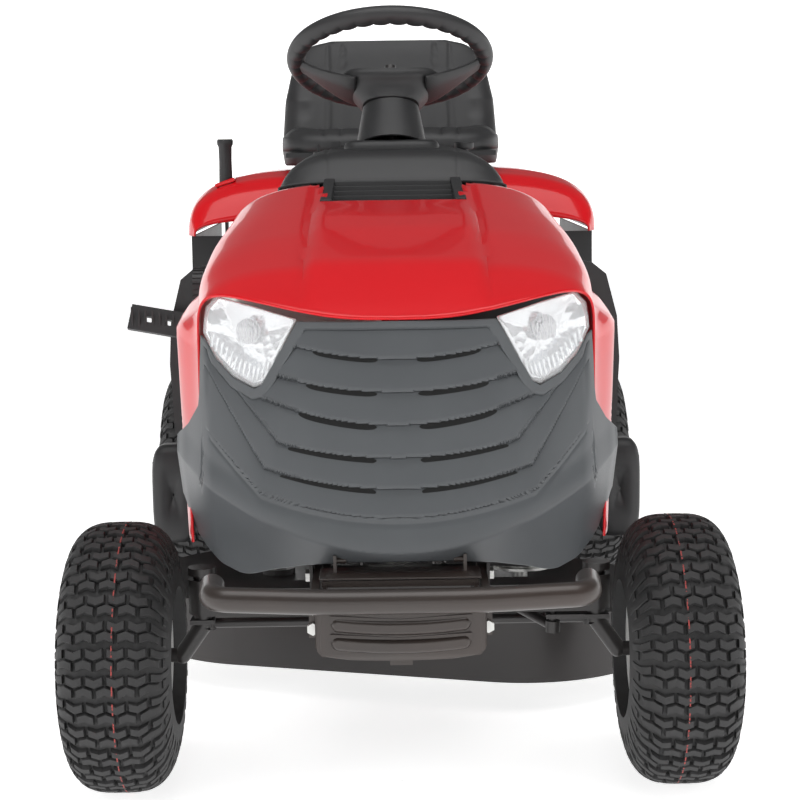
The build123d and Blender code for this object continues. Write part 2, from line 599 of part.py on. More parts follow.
def mower_deck():
    """Pressed deck: two blade chambers, a raised top, spindle housings, hanger ears and an open rear tunnel."""
    deck = up_z(deck_plan(DECK_SKIRT_R), DECK_LOW, DECK_TOP)
    deck -= up_z(deck_plan(DECK_SKIRT_R - SHEET_T), DECK_LOW - 1, DECK_TOP - SHEET_T)
    deck -= block(-130, 130, 985, 1010, DECK_LOW - 1, DECK_TOP - SHEET_T)
    for x, y in BLADE_CENTRES.values():
        deck += Pos(x, y, DECK_TOP - 20) * Cylinder(28, 60)
        deck -= Pos(x, y, DECK_TOP) * Cylinder(12 + FIT, 160)
    for y in (400, 820):
        for x in (-60, 56):
            deck += block(x, x + 4, y, y + 30, DECK_TOP - 2, 226)
    return deck


def spindle(word):
    """Blade shaft with its pulley."""
    x, y = BLADE_CENTRES[word]
    shaft = Pos(x, y, 66) * Cylinder(12, 150, align=(Align.CENTER, Align.CENTER, Align.MIN))
    pulley = Pos(x, y, 200) * Cylinder(50, 18) + Pos(x, y, 189) * Cylinder(60, 4) + Pos(x, y, 211) * Cylinder(60, 4)
    return shaft + pulley


def blade(word):
    """Flat bar with sharpened leading edges and turned-up lift wings."""
    x, y = BLADE_CENTRES[word]
    bar = Box(BLADE_L, 50, 5)
    for turn in (0, 180):
        bar -= Rot(0, 0, turn) * Pos(BLADE_L / 2 - 45, -25, 3) * Rot(45, 0, 0) * Box(92, 5, 5)
        bar += Rot(0, 0, turn) * Pos(BLADE_L / 2 - 35, 21, 10) * Rot(35, 0, 0) * Box(60, 5, 16)
    bar -= Cylinder(12 + FIT, 20)
    return Pos(x, y, 72) * bar


def blade_belt():
    """Belt round the two spindle pulleys."""
    def ring(radius):
        circles = [edge for x, y in BLADE_CENTRES.values() for edge in
                   Circle(radius).moved(Location((x, y))).edges()]
        return make_hull(circles)
    return up_z(ring(58.5), 195, 205) - up_z(ring(50.5), 194, 206)


# ---- operator's place ----------------------------------------------------------------------------
LEVER = (-304.0, 935.0, 600.0)        # pivot of the cutting height lever


def height_lever():
    """Flat bar with a round grip, on a pivot boss below the fender."""
    x, y, z = LEVER
    bar = block(x - 3, x + 3, y - 10, y + 10, z, 800)
    grip = Pos(x, y, 848) * Cylinder(11.5, 92) + Pos(x, y, 892) * Cylinder(14, 10)
    boss = rod((x - 8, y, z), (x + 8, y, z), 18)
    return bar + grip + boss - rod((x - 20, y, z), (x + 20, y, z), 8 + FIT)


def lever_pin():
    """Pin that carries the height lever, fixed to the chassis side plate."""
    x, y, z = LEVER
    return rod((x - 14, y, z), (-186, y, z), 8) + block(-190, -184, y - 20, 1004, z - 25, 620)


PEDAL_PIVOT = (0.0, 470.0, 392.0)


def drive_pedal():
    """Ribbed pad reaching outwards, on a cranked arm that turns with its tube."""
    pad = Plane(origin=(-368, 404, 612), x_dir=(1, 0, -0.2), z_dir=(0, -0.94, 0.34)) * (
        Box(96, 40, 12) - Pos(-18, 0, 0) * Box(11, 9, 30) - Pos(14, 0, 0) * Box(11, 9, 30))
    arm = rod((-335, 412, 604), (-318, 414, 560), 7) + rod((-318, 414, 560), (-318, 414, 420), 7)
    arm += Pos(-318, 414, 560) * Sphere(7) + Pos(-318, 414, 420) * Sphere(7)
    arm += rod((-318, 414, 420), (-318, PEDAL_PIVOT[1], PEDAL_PIVOT[2]), 7)
    tube = rod((-330, *PEDAL_PIVOT[1:]), (-150, *PEDAL_PIVOT[1:]), 12)
    return pad + arm + tube - rod((-340, *PEDAL_PIVOT[1:]), (-140, *PEDAL_PIVOT[1:]), 8 + FIT)


def pedal_shaft():
    """Cross shaft of the pedal, held in a bracket on the right-hand rail."""
    bar = rod((-334, *PEDAL_PIVOT[1:]), (-100, *PEDAL_PIVOT[1:]), 8)
    return bar + block(-115, -100, 455, 485, RAIL_HIGH, 406)


SEAT_HINGE = (890.0, 862.0)           # y, z of the seat's front hinge


def seat_rails():
    """Two channels on the fender in which the seat slides."""
    return both_sides(block(120, 140, 900, 1180, 838, 846))


def seat_pan():
    """Moulded shell under and behind the cushion."""
    front, low = SEAT_HINGE
    pan = block(-190, 190, 880, 1180, 862, 870) + both_sides(rod((95, front, low), (116, front, low), 8))
    pan -= both_sides(block(117, 127, front - 15, front + 13, low - 8, low + 12))
    pan -= both_sides(rod((90, front, low), (118, front, low), 4 + FIT))
    back = across_x(outline([(1180, 862), (1196, 866), (1280, 1060), (1266, 1060), (1180, 876)]), -170, 170)
    return pan + back


def slide_carriage():
    """Runners and the front hinge lug between the seat pan and the rails."""
    front, low = SEAT_HINGE
    runner = block(118, 142, 920, 1160, 846 + GAP, 852)
    lug = rod((118, front, low), (126, front, low), 8) + block(118, 126, front - 6, 930, 846 + GAP, low - 5)
    return both_sides(runner + lug + rod((92, front, low), (120, front, low), 4))


def seat_cushion():
    """Padded seat and back in one closed skin."""
    base = block(-212, 212, 866, 1180, 871, 918)
    side = outline([(1140, 909), (1180, 872), (1206, 872), (1300, 1086), (1286, 1090), (1240, 1090), (1190, 980)])
    back = across_x(side, -212, 212)
    front = outline(mirrored([(0, 800), (214, 800), (214, 960), (205, 1030), (186, 1068), (168, 1084), (0, 1090)]))
    return (base + back) & along_y(front, 800, 1400) - seat_pan()


def throttle_lever():
    """Small lever in the dashboard's slot."""
    lever = block(-92, -88, 548, 558, 858, 880) + Pos(-90, 553, 884) * Box(14, 16, 10)
    return lever + rod((-95, 553, 858), (-85, 553, 858), 6)


def ignition_key():
    """Key in its switch."""
    return Pos(-120, 585, 852) * Cylinder(8.7, 40) + Pos(-120, 585, 878) * Box(4, 20, 14)


def blade_switch():
    """Pull knob that engages the blades."""
    return Pos(120, 585, 850) * Cylinder(7, 50) + Pos(120, 585, 880) * fillet(Cylinder(16, 12).edges(), 3)


# ---- export --------------------------------------------------------------------------------------
def build():
    """Every node by name, y counted from the front axle."""
    hood, mask, lenses = bonnet_parts()
    nodes = {
        "left_frame_rail": frame_rail(1), "right_frame_rail": frame_rail(-1) + pedal_shaft(),
        "engine_plate": engine_plate(), "rear_plate": rear_plate() + lever_pin(),
        "tow_hitch_plate": tow_hitch_plate(), "front_bumper": front_bumper(), "guard_plate": guard_plate(),
        "axle_bracket": axle_bracket(), "floor_pan": floor_pan(),
        "rear_fender": rear_fender(), "dashboard": dashboard(), "column_shroud": column_shroud(),
        "console_shell": console_shell(), "fuel_tank": fuel_tank(), "engine_block": engine_block(),
        "blower_housing": pieces(blower_housing(), air_filter_cover()), "muffler": muffler(),
        "battery": battery(), "transaxle": transaxle(), "drive_belt": drive_belt(), "bolts": bolts(),
        "seat_rails": seat_rails(), "crank_pulley": crank_pulley(), "fuel_cap": fuel_cap(),
        "front_axle_beam": front_axle_beam(), "left_knuckle": knuckle(1), "right_knuckle": knuckle(-1),
        "tie_rod": tie_rod(), "drag_link": drag_link(), "sector_gear": sector_gear(),
        "steering_shaft": steering_shaft(), "steering_wheel": steering_wheel(),
        "left_axle_shaft": axle_shaft(1), "right_axle_shaft": axle_shaft(-1),
        "mower_deck": mower_deck(), "left_spindle": spindle("left"), "right_spindle": spindle("right"),
        "left_blade": blade("left"), "right_blade": blade("right"), "blade_belt": blade_belt(),
        "height_lever": height_lever(), "bonnet": hood, "grille_mask": mask, "headlight_lenses": lenses,
        "headlight_reflectors": headlight_reflectors(), "drive_pedal": drive_pedal(),
        "slide_carriage": slide_carriage(), "seat_pan": seat_pan(), "seat_cushion": seat_cushion(),
        "throttle_lever": throttle_lever(), "ignition_key": ignition_key(), "blade_switch": blade_switch(),
    }
    nodes |= wheel_pair("front", FRONT_R, FRONT_W, FRONT_RIM_R, FRONT_TRACK, 0, 10 + FIT, -6, 90)
    nodes |= wheel_pair("rear", REAR_R, REAR_W, REAR_RIM_R, REAR_TRACK, WHEELBASE, 13, 30, 110)
    return nodes


def main():
    """Write one STEP file for each node, moved to the row frame."""
    os.makedirs("parts", exist_ok=True)
    for name, shape in build().items():
        export_step(Pos(0, SHIFT_Y, 0) * shape, f"parts/{name}.step")


main()
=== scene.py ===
import json
from math import pi, radians

import bmesh
import bpy
import numpy as np
from mathutils import Matrix, Vector


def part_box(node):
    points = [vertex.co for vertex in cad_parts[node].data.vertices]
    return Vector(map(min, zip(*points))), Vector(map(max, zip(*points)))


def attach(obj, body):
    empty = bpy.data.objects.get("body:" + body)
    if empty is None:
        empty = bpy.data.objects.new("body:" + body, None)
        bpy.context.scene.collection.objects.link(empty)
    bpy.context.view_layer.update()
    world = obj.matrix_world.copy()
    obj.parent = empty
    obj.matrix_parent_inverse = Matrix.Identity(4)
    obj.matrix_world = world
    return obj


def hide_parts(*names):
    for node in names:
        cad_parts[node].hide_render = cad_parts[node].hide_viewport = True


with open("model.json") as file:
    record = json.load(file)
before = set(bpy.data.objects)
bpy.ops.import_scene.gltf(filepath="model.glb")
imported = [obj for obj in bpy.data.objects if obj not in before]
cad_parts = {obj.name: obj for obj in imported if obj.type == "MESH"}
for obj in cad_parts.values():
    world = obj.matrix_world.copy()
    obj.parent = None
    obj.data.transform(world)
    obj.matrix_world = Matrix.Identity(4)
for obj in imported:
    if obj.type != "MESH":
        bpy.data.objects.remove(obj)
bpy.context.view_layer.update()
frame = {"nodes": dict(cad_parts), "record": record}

bl_info = {
    "name": "Riding mower finish",
    "version": (1, 0, 0),
    "blender": (4, 5, 0),
    "location": "3D View > Sidebar > Mower",
    "description": "Adds the moulded, padded and rubber surfaces of a riding lawn mower round its CAD frame",
    "category": "Object",
}

# ---- the frame's own places, in millimetres with y counted from the front axle --------------------
MM = 0.001
FRONT_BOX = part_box("front_left_tyre")
REAR_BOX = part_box("rear_left_tyre")
AXLE_Y = (FRONT_BOX[0][1] + FRONT_BOX[1][1]) / 2 / MM
WHEELBASE = (REAR_BOX[0][1] + REAR_BOX[1][1]) / 2 / MM - AXLE_Y
FRONT_R = (FRONT_BOX[1][2] - FRONT_BOX[0][2]) / 2 / MM
REAR_R = (REAR_BOX[1][2] - REAR_BOX[0][2]) / 2 / MM
FRONT_TRACK = (FRONT_BOX[0][0] + FRONT_BOX[1][0]) / 2 / MM
REAR_TRACK = (REAR_BOX[0][0] + REAR_BOX[1][0]) / 2 / MM
JOINTS = {joint["name"]: joint for joint in frame["record"]["behaviour"]["joints"]}
STEER_POS = np.array(JOINTS["steering_turn"]["pos_m"]) / MM - (0, AXLE_Y, 0)
STEER_AXIS = np.array(JOINTS["steering_turn"]["axis"])
SIDES = (("left", 1), ("right", -1))
# for each end: the tyre's box, radius, half track and axle, the tread's rows and bars, and the valve's reach
WHEELS = {"front": (FRONT_BOX, FRONT_R, FRONT_TRACK, 0.0, 64, 5, 80),
          "rear": (REAR_BOX, REAR_R, REAR_TRACK, WHEELBASE, 80, 7, 104)}
TREAD_DEPTH = 7.0
BLOCK_WIDTH = 12.5
LUG_LENGTH = 17.0
# angle of a sharp edge in degrees, and distances in metres
SHARP = 50.0
MERGE_DISTANCE = 1e-5
DEGENERATE_DISTANCE = 1e-6


# ---- numpy surfaces --------------------
def ramp(low, high, value):
    """Smooth 0 to 1 step: 3t^2 - 2t^3 with t = (value - low) / (high - low), clipped."""
    t = np.clip((value - low) / (high - low), 0, 1)
    return t * t * (3 - 2 * t)


def through(points, value):
    """Straight lines through (input, output) points."""
    inputs, outputs = zip(*points)
    return np.interp(value, inputs, outputs)


def smooth_through(points, value, width):
    """through() averaged over a window, which rounds its corners."""
    shifts = np.linspace(-width, width, 9)
    return sum(through(points, value + shift) for shift in shifts) / len(shifts)


def turns(count):
    """Angles of a whole turn in equal steps."""
    return np.linspace(0, 2 * pi, count + 1)[:-1]


def parameters(rows, columns):
    """Of a grid: v from 0 to 1 down the rows and u from -1 to 1 along the columns."""
    return np.linspace(0, 1, rows)[:, None], np.linspace(-1, 1, columns)[None, :]


def points_at(x, y, z):
    """Grid of points from its coordinates, each spread over the whole grid."""
    return np.stack(np.broadcast_arrays(x, y, z), axis=-1)


def bowed(value, power):
    """|value|^power with the value's sign."""
    return np.sign(value) * np.abs(value) ** power


def oval(angle, half_x, half_y, power):
    """Superellipse ring: X |cos|^power and Y |sin|^power, each with its sign."""
    return half_x * bowed(np.cos(angle), power), half_y * bowed(np.sin(angle), power)


def round_axle(reach, level, turn):
    """Points at a reach along a wheel's axle, a level from it and a turn about it."""
    return points_at(reach, -level * np.sin(turn), level * np.cos(turn))


def grid_faces(rows, columns, wrap_rows=False, wrap_columns=False):
    """Quads of a grid whose point (i, j) has index i * columns + j."""
    i = np.arange(rows if wrap_rows else rows - 1)[:, None]
    j = np.arange(columns if wrap_columns else columns - 1)[None, :]
    i2, j2 = (i + 1) % rows, (j + 1) % columns
    corners = [i * columns + j, i2 * columns + j, i2 * columns + j2, i * columns + j2]
    return np.stack(np.broadcast_arrays(*corners), axis=-1).reshape(-1, 4)


def mesh_object(name, points, faces, sharp=SHARP):
    """A smooth-shaded mesh object at the origin from points in millimetres (y from the front axle)."""
    points = np.asarray(points, dtype=float).reshape(-1, 3) + (0, AXLE_Y, 0)
    mesh = bpy.data.meshes.new(name)
    mesh.from_pydata((points * MM).tolist(), [], faces)
    mesh.shade_smooth()
    mesh.set_sharp_from_angle(angle=radians(sharp))
    thing = bpy.data.objects.new(name, mesh)
    bpy.context.scene.collection.objects.link(thing)
    return thing


def reworked(thing, merge=False, fill=0):
    """Merges doubled points, or fills open rings of up to that many corners, and turns the faces outwards."""
    work = bmesh.new()
    work.from_mesh(thing.data)
    if merge:
        bmesh.ops.remove_doubles(work, verts=work.verts, dist=MERGE_DISTANCE)
        bmesh.ops.dissolve_degenerate(work, dist=DEGENERATE_DISTANCE, edges=work.edges)
    if fill:
        bmesh.ops.holes_fill(work, edges=[edge for edge in work.edges if edge.is_boundary], sides=fill)
    bmesh.ops.recalc_face_normals(work, faces=work.faces)
    work.to_mesh(thing.data)
    work.free()
    return thing


def turned_shape(name, points, sharp=SHARP):
    """A shape of closed rings, merged where they shrink to a point."""
    return reworked(surface(name, points, wrap_columns=True, sharp=sharp), merge=True)


def surface(name, points, wrap_rows=False, wrap_columns=False, keep=None, sharp=SHARP, flip=False):
    """A grid of points (rows, columns, 3) as an object; keep masks its cells."""
    rows, columns = points.shape[:2]
    faces = grid_faces(rows, columns, wrap_rows, wrap_columns)
    if keep is not None:
        faces = faces[keep.reshape(-1)]
    if flip:
        faces = faces[:, ::-1]
    return mesh_object(name, points, faces.tolist(), sharp)


def thicken(thing, wall):
    """Gives a sheet its wall, inwards."""
    solid = thing.modifiers.new("wall", "SOLIDIFY")
    solid.thickness = wall * MM
    solid.offset = -1
    return thing


def rounded(thing, width):
    """Rounds the sharp edges."""
    bevel = thing.modifiers.new("edges", "BEVEL")
    bevel.width = width * MM
    bevel.segments = 2
    bevel.limit_method = "ANGLE"
    bevel.angle_limit = radians(35)
    bevel.harden_normals = True
    return thing


def box_mesh(low, high, taper=0.0):
    """Eight corners and six faces; the top is drawn in by the taper t."""
    (x0, y0, z0), (x1, y1, z1), t = low, high, taper
    points = [(x0, y0, z0), (x1, y0, z0), (x1, y1, z0), (x0, y1, z0),
              (x0 + t, y0 + t, z1), (x1 - t, y0 + t, z1), (x1 - t, y1 - t, z1), (x0 + t, y1 - t, z1)]
    faces = [(3, 2, 1, 0), (4, 5, 6, 7), (0, 1, 5, 4), (1, 2, 6, 5), (2, 3, 7, 6), (3, 0, 4, 7)]
    return np.array(points, dtype=float), np.array(faces)


def tube_mesh(path, radius, sides=20, closed=False):
    """A ring of the radius (a number, or one for each point) carried square to a path of points; ends capped."""
    path = np.asarray(path, dtype=float)
    count = len(path)
    ahead = np.roll(path, -1, axis=0) - np.roll(path, 1, axis=0)
    if not closed:
        ahead[0], ahead[-1] = path[1] - path[0], path[-1] - path[-2]
    ahead /= np.linalg.norm(ahead, axis=1)[:, None]
    guide = np.array((0.0, 0.0, 1.0)) if abs(ahead[0][2]) < 0.9 else np.array((0.0, 1.0, 0.0))
    side = np.cross(ahead, guide)
    side /= np.linalg.norm(side, axis=1)[:, None]
    up = np.cross(side, ahead)
    angle = np.arange(sides) * 2 * pi / sides
    radius = np.broadcast_to(np.asarray(radius, dtype=float), (count,))[:, None, None]
    ring = np.cos(angle)[None, :, None] * side[:, None] + np.sin(angle)[None, :, None] * up[:, None]
    points = (path[:, None] + radius * ring).reshape(-1, 3)
    faces = grid_faces(count, sides, closed, True)[:, ::-1].tolist()
    if not closed:
        faces.append(list(range(sides)))
        faces.append([(count - 1) * sides + k for k in reversed(range(sides))])
    return points, faces


def joined(name, parts, sharp=SHARP):
    """Several (points, faces) meshes as one object; the faces may differ in their numbers of corners."""
    points, faces, count = [], [], 0
    for part_points, part_faces in parts:
        part_points = np.asarray(part_points, dtype=float).reshape(-1, 3)
        points.append(part_points)
        faces.extend([[int(corner) + count for corner in face] for face in part_faces])
        count += len(part_points)
    return mesh_object(name, np.concatenate(points), faces, sharp)


def fit_piece(thing, body, paint, slot, *stands_for):
    """Gives a piece its finish, lets it ride on its body and hides the CAD nodes that it stands for."""
    thing.data.materials.clear()
    thing.data.materials.append(finish(paint))
    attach(thing, body)
    if stands_for:
        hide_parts(*stands_for)
    return thing


# ---- shaders --------------------
class Value:
    """A node socket with arithmetic; every operator adds the Math node that works it out."""

    def __init__(self, shader, socket):
        self.shader, self.socket = shader, socket

    def _math(self, operation, *inputs):
        return self.shader.node("ShaderNodeMath", {"operation": operation}, dict(enumerate(inputs)))

    def __add__(self, other):
        return self._math("ADD", self, other)

    __radd__ = __add__

    def __sub__(self, other):
        return self._math("SUBTRACT", self, other)

    def __rsub__(self, other):
        return self._math("SUBTRACT", other, self)

    def __mul__(self, other):
        return self._math("MULTIPLY", self, other)

    __rmul__ = __mul__

    def above(self, other):
        return self._math("GREATER_THAN", self, other)


class Shader:
    """One material being wired."""

    def __init__(self, name):
        self.material = bpy.data.materials.new(name)
        self.material.use_nodes = True
        self.tree = self.material.node_tree
        self.surface = self.tree.nodes["Principled BSDF"]

    def node(self, kind, settings=None, inputs=None, output=0):
        """Adds any node: its settings first, then the values or links of its sockets."""
        node = self.tree.nodes.new(kind)
        for key, value in (settings or {}).items():
            setattr(node, key, value)
        for key, value in (inputs or {}).items():
            self.feed(node.inputs[key], value)
        return Value(self, node.outputs[output])

    def feed(self, socket, value):
        if isinstance(value, Value):
            self.tree.links.new(value.socket, socket)
        else:
            socket.default_value = value

    def place(self):
        """Object coordinates, in metres."""
        return self.node("ShaderNodeTexCoord", output=3)

    def noise(self, scale, detail=3.0, rough=0.5, where=None):
        where = where or self.place()
        return self.node("ShaderNodeTexNoise", {}, {"Vector": where, "Scale": scale, "Detail": detail,
                                                    "Roughness": rough})

    def mixed(self, factor, first, second):
        """Colour between two colours."""
        return self.node("ShaderNodeMix", {"data_type": "RGBA"}, {0: factor, 6: first, 7: second}, output=2)

    def bump(self, height, strength, distance):
        return self.node("ShaderNodeBump", {}, {"Height": height, "Strength": strength, "Distance": distance})

    def finish(self, **sockets):
        for name, value in sockets.items():
            self.feed(self.surface.inputs[name.replace("_", " ")], value)
        return self.material


def shade(colour, factor):
    """The colour made lighter or darker, as RGBA."""
    return tuple(min(1.0, c * factor) for c in colour[:3]) + (1.0,)


def gloss_red(name, colour):
    """Body-coloured gloss moulding: even red under a clear coat with very slight orange peel and dust."""
    s = Shader(name)
    peel = s.noise(70, 2)
    dust = s.noise(9, 5)
    tone = s.mixed(dust, shade(colour, 0.94), shade(colour, 1.04))
    return s.finish(Base_Color=tone, Roughness=0.26 + dust * 0.08, Coat_Weight=0.45, Coat_Roughness=0.04,
                    Specular_IOR_Level=0.22, Normal=s.bump(peel, 0.03, 0.0006))


def grained_plastic(name, colour, roughness, grain=1400, strength=0.25, scuffs=0.1):
    """Moulded plastic with a fine spark-eroded grain and faint handling marks."""
    s = Shader(name)
    fine = s.noise(grain, 2)
    cloud = s.noise(14, 4)
    tone = s.mixed(cloud, shade(colour, 0.9), shade(colour, 1.12))
    return s.finish(Base_Color=tone, Roughness=roughness + cloud * scuffs - fine * 0.06,
                    Normal=s.bump(fine, strength, 0.0004))


def satin_coat(name, colour, roughness):
    """Powder-coated steel: slight orange peel and a brownish cast where it is thin."""
    s = Shader(name)
    peel = s.noise(420, 2)
    cast = s.noise(6, 3)
    tone = s.mixed(cast, shade(colour, 0.85), (colour[0] * 1.5, colour[1] * 1.2, colour[2] * 1.05, 1))
    return s.finish(Base_Color=tone, Metallic=0.25, Roughness=roughness + peel * 0.08, Coat_Weight=0.35,
                    Coat_Roughness=0.22, Normal=s.bump(peel, 0.12, 0.0005))


def matt_rubber(name):
    """Matt rubber with mould flow marks, and a dusty bloom."""
    s = Shader(name)
    fine = s.noise(900, 3)
    bloom = s.noise(16, 6, 0.65)
    tone = s.mixed(bloom, (0.016, 0.016, 0.017, 1), (0.045, 0.044, 0.044, 1))
    return s.finish(Base_Color=tone, Roughness=0.62 + bloom * 0.2, Normal=s.bump(fine, 0.3, 0.0005))


def worn_line(name):
    """Faint paint of the line round the tread, worn away in spots."""
    s = Shader(name)
    worn = s.noise(260, 3).above(0.47)
    tone = s.mixed(worn, (0.03, 0.026, 0.026, 1), (0.33, 0.05, 0.045, 1))
    return s.finish(Base_Color=tone, Roughness=0.7)


def vinyl(name):
    """Seat vinyl: leather-like cells, creases, and a soft sheen."""
    s = Shader(name)
    cells = s.node("ShaderNodeTexVoronoi", {"feature": "DISTANCE_TO_EDGE"}, {"Vector": s.place(), "Scale": 520.0})
    folds = s.noise(22, 4)
    tone = s.mixed(folds, (0.012, 0.012, 0.013, 1), (0.03, 0.03, 0.031, 1))
    return s.finish(Base_Color=tone, Roughness=0.42 + folds * 0.14, Normal=s.bump(cells + folds * 0.5, 0.3, 0.0006))


def metal(name, colour, roughness, brushed=0.0):
    """Bare or plated metal with directional scratches."""
    s = Shader(name)
    stretched = s.node("ShaderNodeMapping", {}, {"Vector": s.place(), "Scale": (600.0, 40.0, 40.0)})
    lines = s.noise(1.0, 4, 0.6, stretched)
    tone = s.mixed(lines, shade(colour, 0.85), shade(colour, 1.08))
    return s.finish(Base_Color=tone, Metallic=1.0, Roughness=roughness + lines * 0.15,
                    Normal=s.bump(lines, brushed, 0.0002))


def cast_metal(name):
    """Sand-cast aluminium."""
    s = Shader(name)
    grit = s.noise(340, 4, 0.7)
    return s.finish(Base_Color=s.mixed(grit, (0.3, 0.3, 0.3, 1), (0.5, 0.5, 0.5, 1)), Metallic=0.85,
                    Roughness=0.48 + grit * 0.2, Normal=s.bump(grit, 0.5, 0.0008))


def clear_lens(name):
    """Thin clear moulding with a faint fluting."""
    s = Shader(name)
    flutes = s.noise(60, 1)
    return s.finish(Base_Color=(0.95, 0.96, 0.97, 1), Roughness=0.04, Alpha=0.22, Coat_Weight=1.0,
                    Coat_Roughness=0.02, Normal=s.bump(flutes, 0.05, 0.001))


def mirror_bowl(name):
    """Bright metallised reflector with moulded facets, and a faint painted glow from its emission."""
    s = Shader(name)
    facets = s.node("ShaderNodeTexVoronoi", {}, {"Vector": s.place(), "Scale": 90.0})
    # the faint emission is a painted glow that brightens the reflector
    return s.finish(Base_Color=(0.86, 0.88, 0.9, 1), Metallic=0.85, Roughness=0.12, Emission_Strength=0.03,
                    Emission_Color=(0.9, 0.93, 0.97, 1), Normal=s.bump(facets, 0.25, 0.002))


# name of each finish: its maker and the maker's values, where a word is one of the panel's colours
FINISHES = {
    "gloss_red": (gloss_red, "red"),
    "grille_grey": (grained_plastic, "grille", 0.4, 1100, 0.2, 0.08),
    # near-black painted shadow that stands in for the open slots behind the louvres
    "slot_black": (grained_plastic, (0.004, 0.004, 0.004), 0.8, 300, 0.05),
    "black_moulding": (grained_plastic, "moulding", 0.46, 1500, 0.3, 0.1),
    "tank_milk": (grained_plastic, (0.72, 0.72, 0.68), 0.35, 500, 0.1),
    "rim_paint": (grained_plastic, (0.6, 0.6, 0.59), 0.3, 500, 0.08),
    "brown_coat": (satin_coat, "coat", 0.34),
    "black_coat": (satin_coat, (0.02, 0.02, 0.021), 0.42),
    "zinc": (metal, (0.62, 0.62, 0.6), 0.26, 0.15),
    "bulb_ring": (metal, (0.5, 0.5, 0.52), 0.2),
    "cast_metal": (cast_metal,),
    "tyre_rubber": (matt_rubber,),
    "tread_line": (worn_line,),
    "seat_vinyl": (vinyl,),
    "clear_lens": (clear_lens,),
    "mirror_bowl": (mirror_bowl,),
}


def colours():
    """The values that the panel offers."""
    return bpy.context.scene.mower_colours


def finish(name):
    """The finish of that name, made once."""
    maker, *values = FINISHES[name]
    values = [tuple(getattr(colours(), value)) if isinstance(value, str) else value for value in values]
    return bpy.data.materials.get(name) or maker(name, *values)


# ---- tyres --------------------
def carcass_radius(across, radius, rim_radius):
    """Tyre section: radius at a place across it, -1 to 1; a flat-topped superellipse over the bead."""
    crown = radius - rim_radius
    return rim_radius + crown * (1 - np.abs(across) ** 3.4) ** 0.42


def chevron_block(bend, length, width, height):
    """One tread block: a V-shaped bar whose top is drawn in, two rows of five points at each of three levels."""
    t = np.linspace(-1, 1, 5)
    rise = bend * (1 - np.abs(t))
    rows = []
    for inset, level in ((0.0, -4.0), (0.0, 0.55 * height), (1.3, height)):
        span = 1 - inset / (length / 2)
        for side in (-1, 1):
            rows.append(np.stack([t * length / 2 * span, rise + side * (width / 2 - inset), level + 0 * t], axis=-1))
    low_a, low_b, mid_a, mid_b, top_a, top_b = range(6)
    points = np.concatenate(rows)
    faces = []
    for a, b in ((low_a, mid_a), (mid_a, top_a), (top_a, top_b), (top_b, mid_b), (mid_b, low_b)):
        faces += [(5 * a + k, 5 * a + k + 1, 5 * b + k + 1, 5 * b + k) for k in range(4)]
    for k in (0, 4):
        ring = [5 * low_a + k, 5 * mid_a + k, 5 * top_a + k, 5 * top_b + k, 5 * mid_b + k, 5 * low_b + k]
        faces.append(ring if k == 0 else ring[::-1])
    return points, faces


def tread(radius, half, rim_radius, rows, columns):
    """All blocks of one tyre: rows of V bars round the wheel. Odd rows are turned and shifted by half a bar, and
    even rows have a lug on each shoulder."""
    parts = []
    pitch_x = 2 * half * 0.90 / columns
    pitch = 2 * pi / rows
    floor = radius - TREAD_DEPTH
    for row in range(rows):
        odd = row % 2
        points, faces = chevron_block(4.2 if odd else -4.2, pitch_x * 0.86, BLOCK_WIDTH, TREAD_DEPTH)
        turn = row * pitch + points[:, 1] / radius
        for x in (np.arange(columns + odd) - (columns - 1 + odd) / 2) * pitch_x:
            across = np.clip((points[:, 0] + x) / half, -0.985, 0.985)
            level = carcass_radius(across, floor, rim_radius) + points[:, 2]
            parts.append((round_axle(across * half, level, turn), faces))
        if odd:
            continue
        points, faces = chevron_block(0.0, LUG_LENGTH, BLOCK_WIDTH * 1.25, 6.0)
        turn = row * pitch + points[:, 1] / radius
        for side in (-1, 1):
            across = side * np.clip(0.915 + (points[:, 0] + LUG_LENGTH / 2) / (half * 6.2), 0, 0.992)
            level = carcass_radius(across, floor, rim_radius) + points[:, 2] * 0.55
            reach = across * half * (1 + points[:, 2] * 0.0018)
            parts.append((round_axle(reach, level, turn), faces if side > 0 else [face[::-1] for face in faces]))
    return parts


def carcass(radius, half, rim_radius):
    """Carcass: the section turned about the axle, with a raised ring on each sidewall."""
    angle = np.linspace(-1, 1, 61)
    across = bowed(angle, 0.55) * 0.9995
    r = carcass_radius(across, radius - TREAD_DEPTH, rim_radius)
    share = (r - rim_radius) / (radius - rim_radius)
    x = across * half
    x = x + np.sign(x) * (np.abs(across) > 0.97) * 1.2 * (ramp(0.52, 0.56, share) - ramp(0.60, 0.64, share))
    inner_x = x[::-1] * 0.72
    section_x = np.concatenate([x, inner_x[1:-1]])
    section_r = np.concatenate([r, np.full_like(inner_x, rim_radius - 1.0)[1:-1]])
    turn = turns(120)
    return round_axle(section_x, section_r, turn[:, None]), grid_faces(len(turn), len(section_x), True, True)


def wheel_place(parts, x, y, z):
    """Moves wheel meshes from the axle's middle to their place."""
    return [(points.reshape(-1, 3) + (x, y, z), faces) for points, faces in parts]


def tread_line(radius, x, y, dashes=46):
    """Thin dashes of paint carried round the tread just off its middle."""
    parts = []
    for k in range(dashes):
        turn = np.linspace(0, 0.085, 4) + k * 2 * pi / dashes
        parts.append((np.stack([round_axle(offset, radius, turn) for offset in (-0.9, 0.9)]), grid_faces(2, 4)))
    return wheel_place(parts, x, y, radius)


# ---- bonnet and grille --------------------
NOSE_TOP = [(-276, 668), (-264, 676), (-240, 690), (-205, 706), (-150, 729), (0, 764), (180, 800), (300, 825)]
HOOD_REAR = 300.0
BELT = [(-270, 600), (-180, 640), (-60, 668), (150, 690), (300, 690)]


def nose_top(y):
    """Height of the bonnet's middle line."""
    return smooth_through(NOSE_TOP, y, 14)


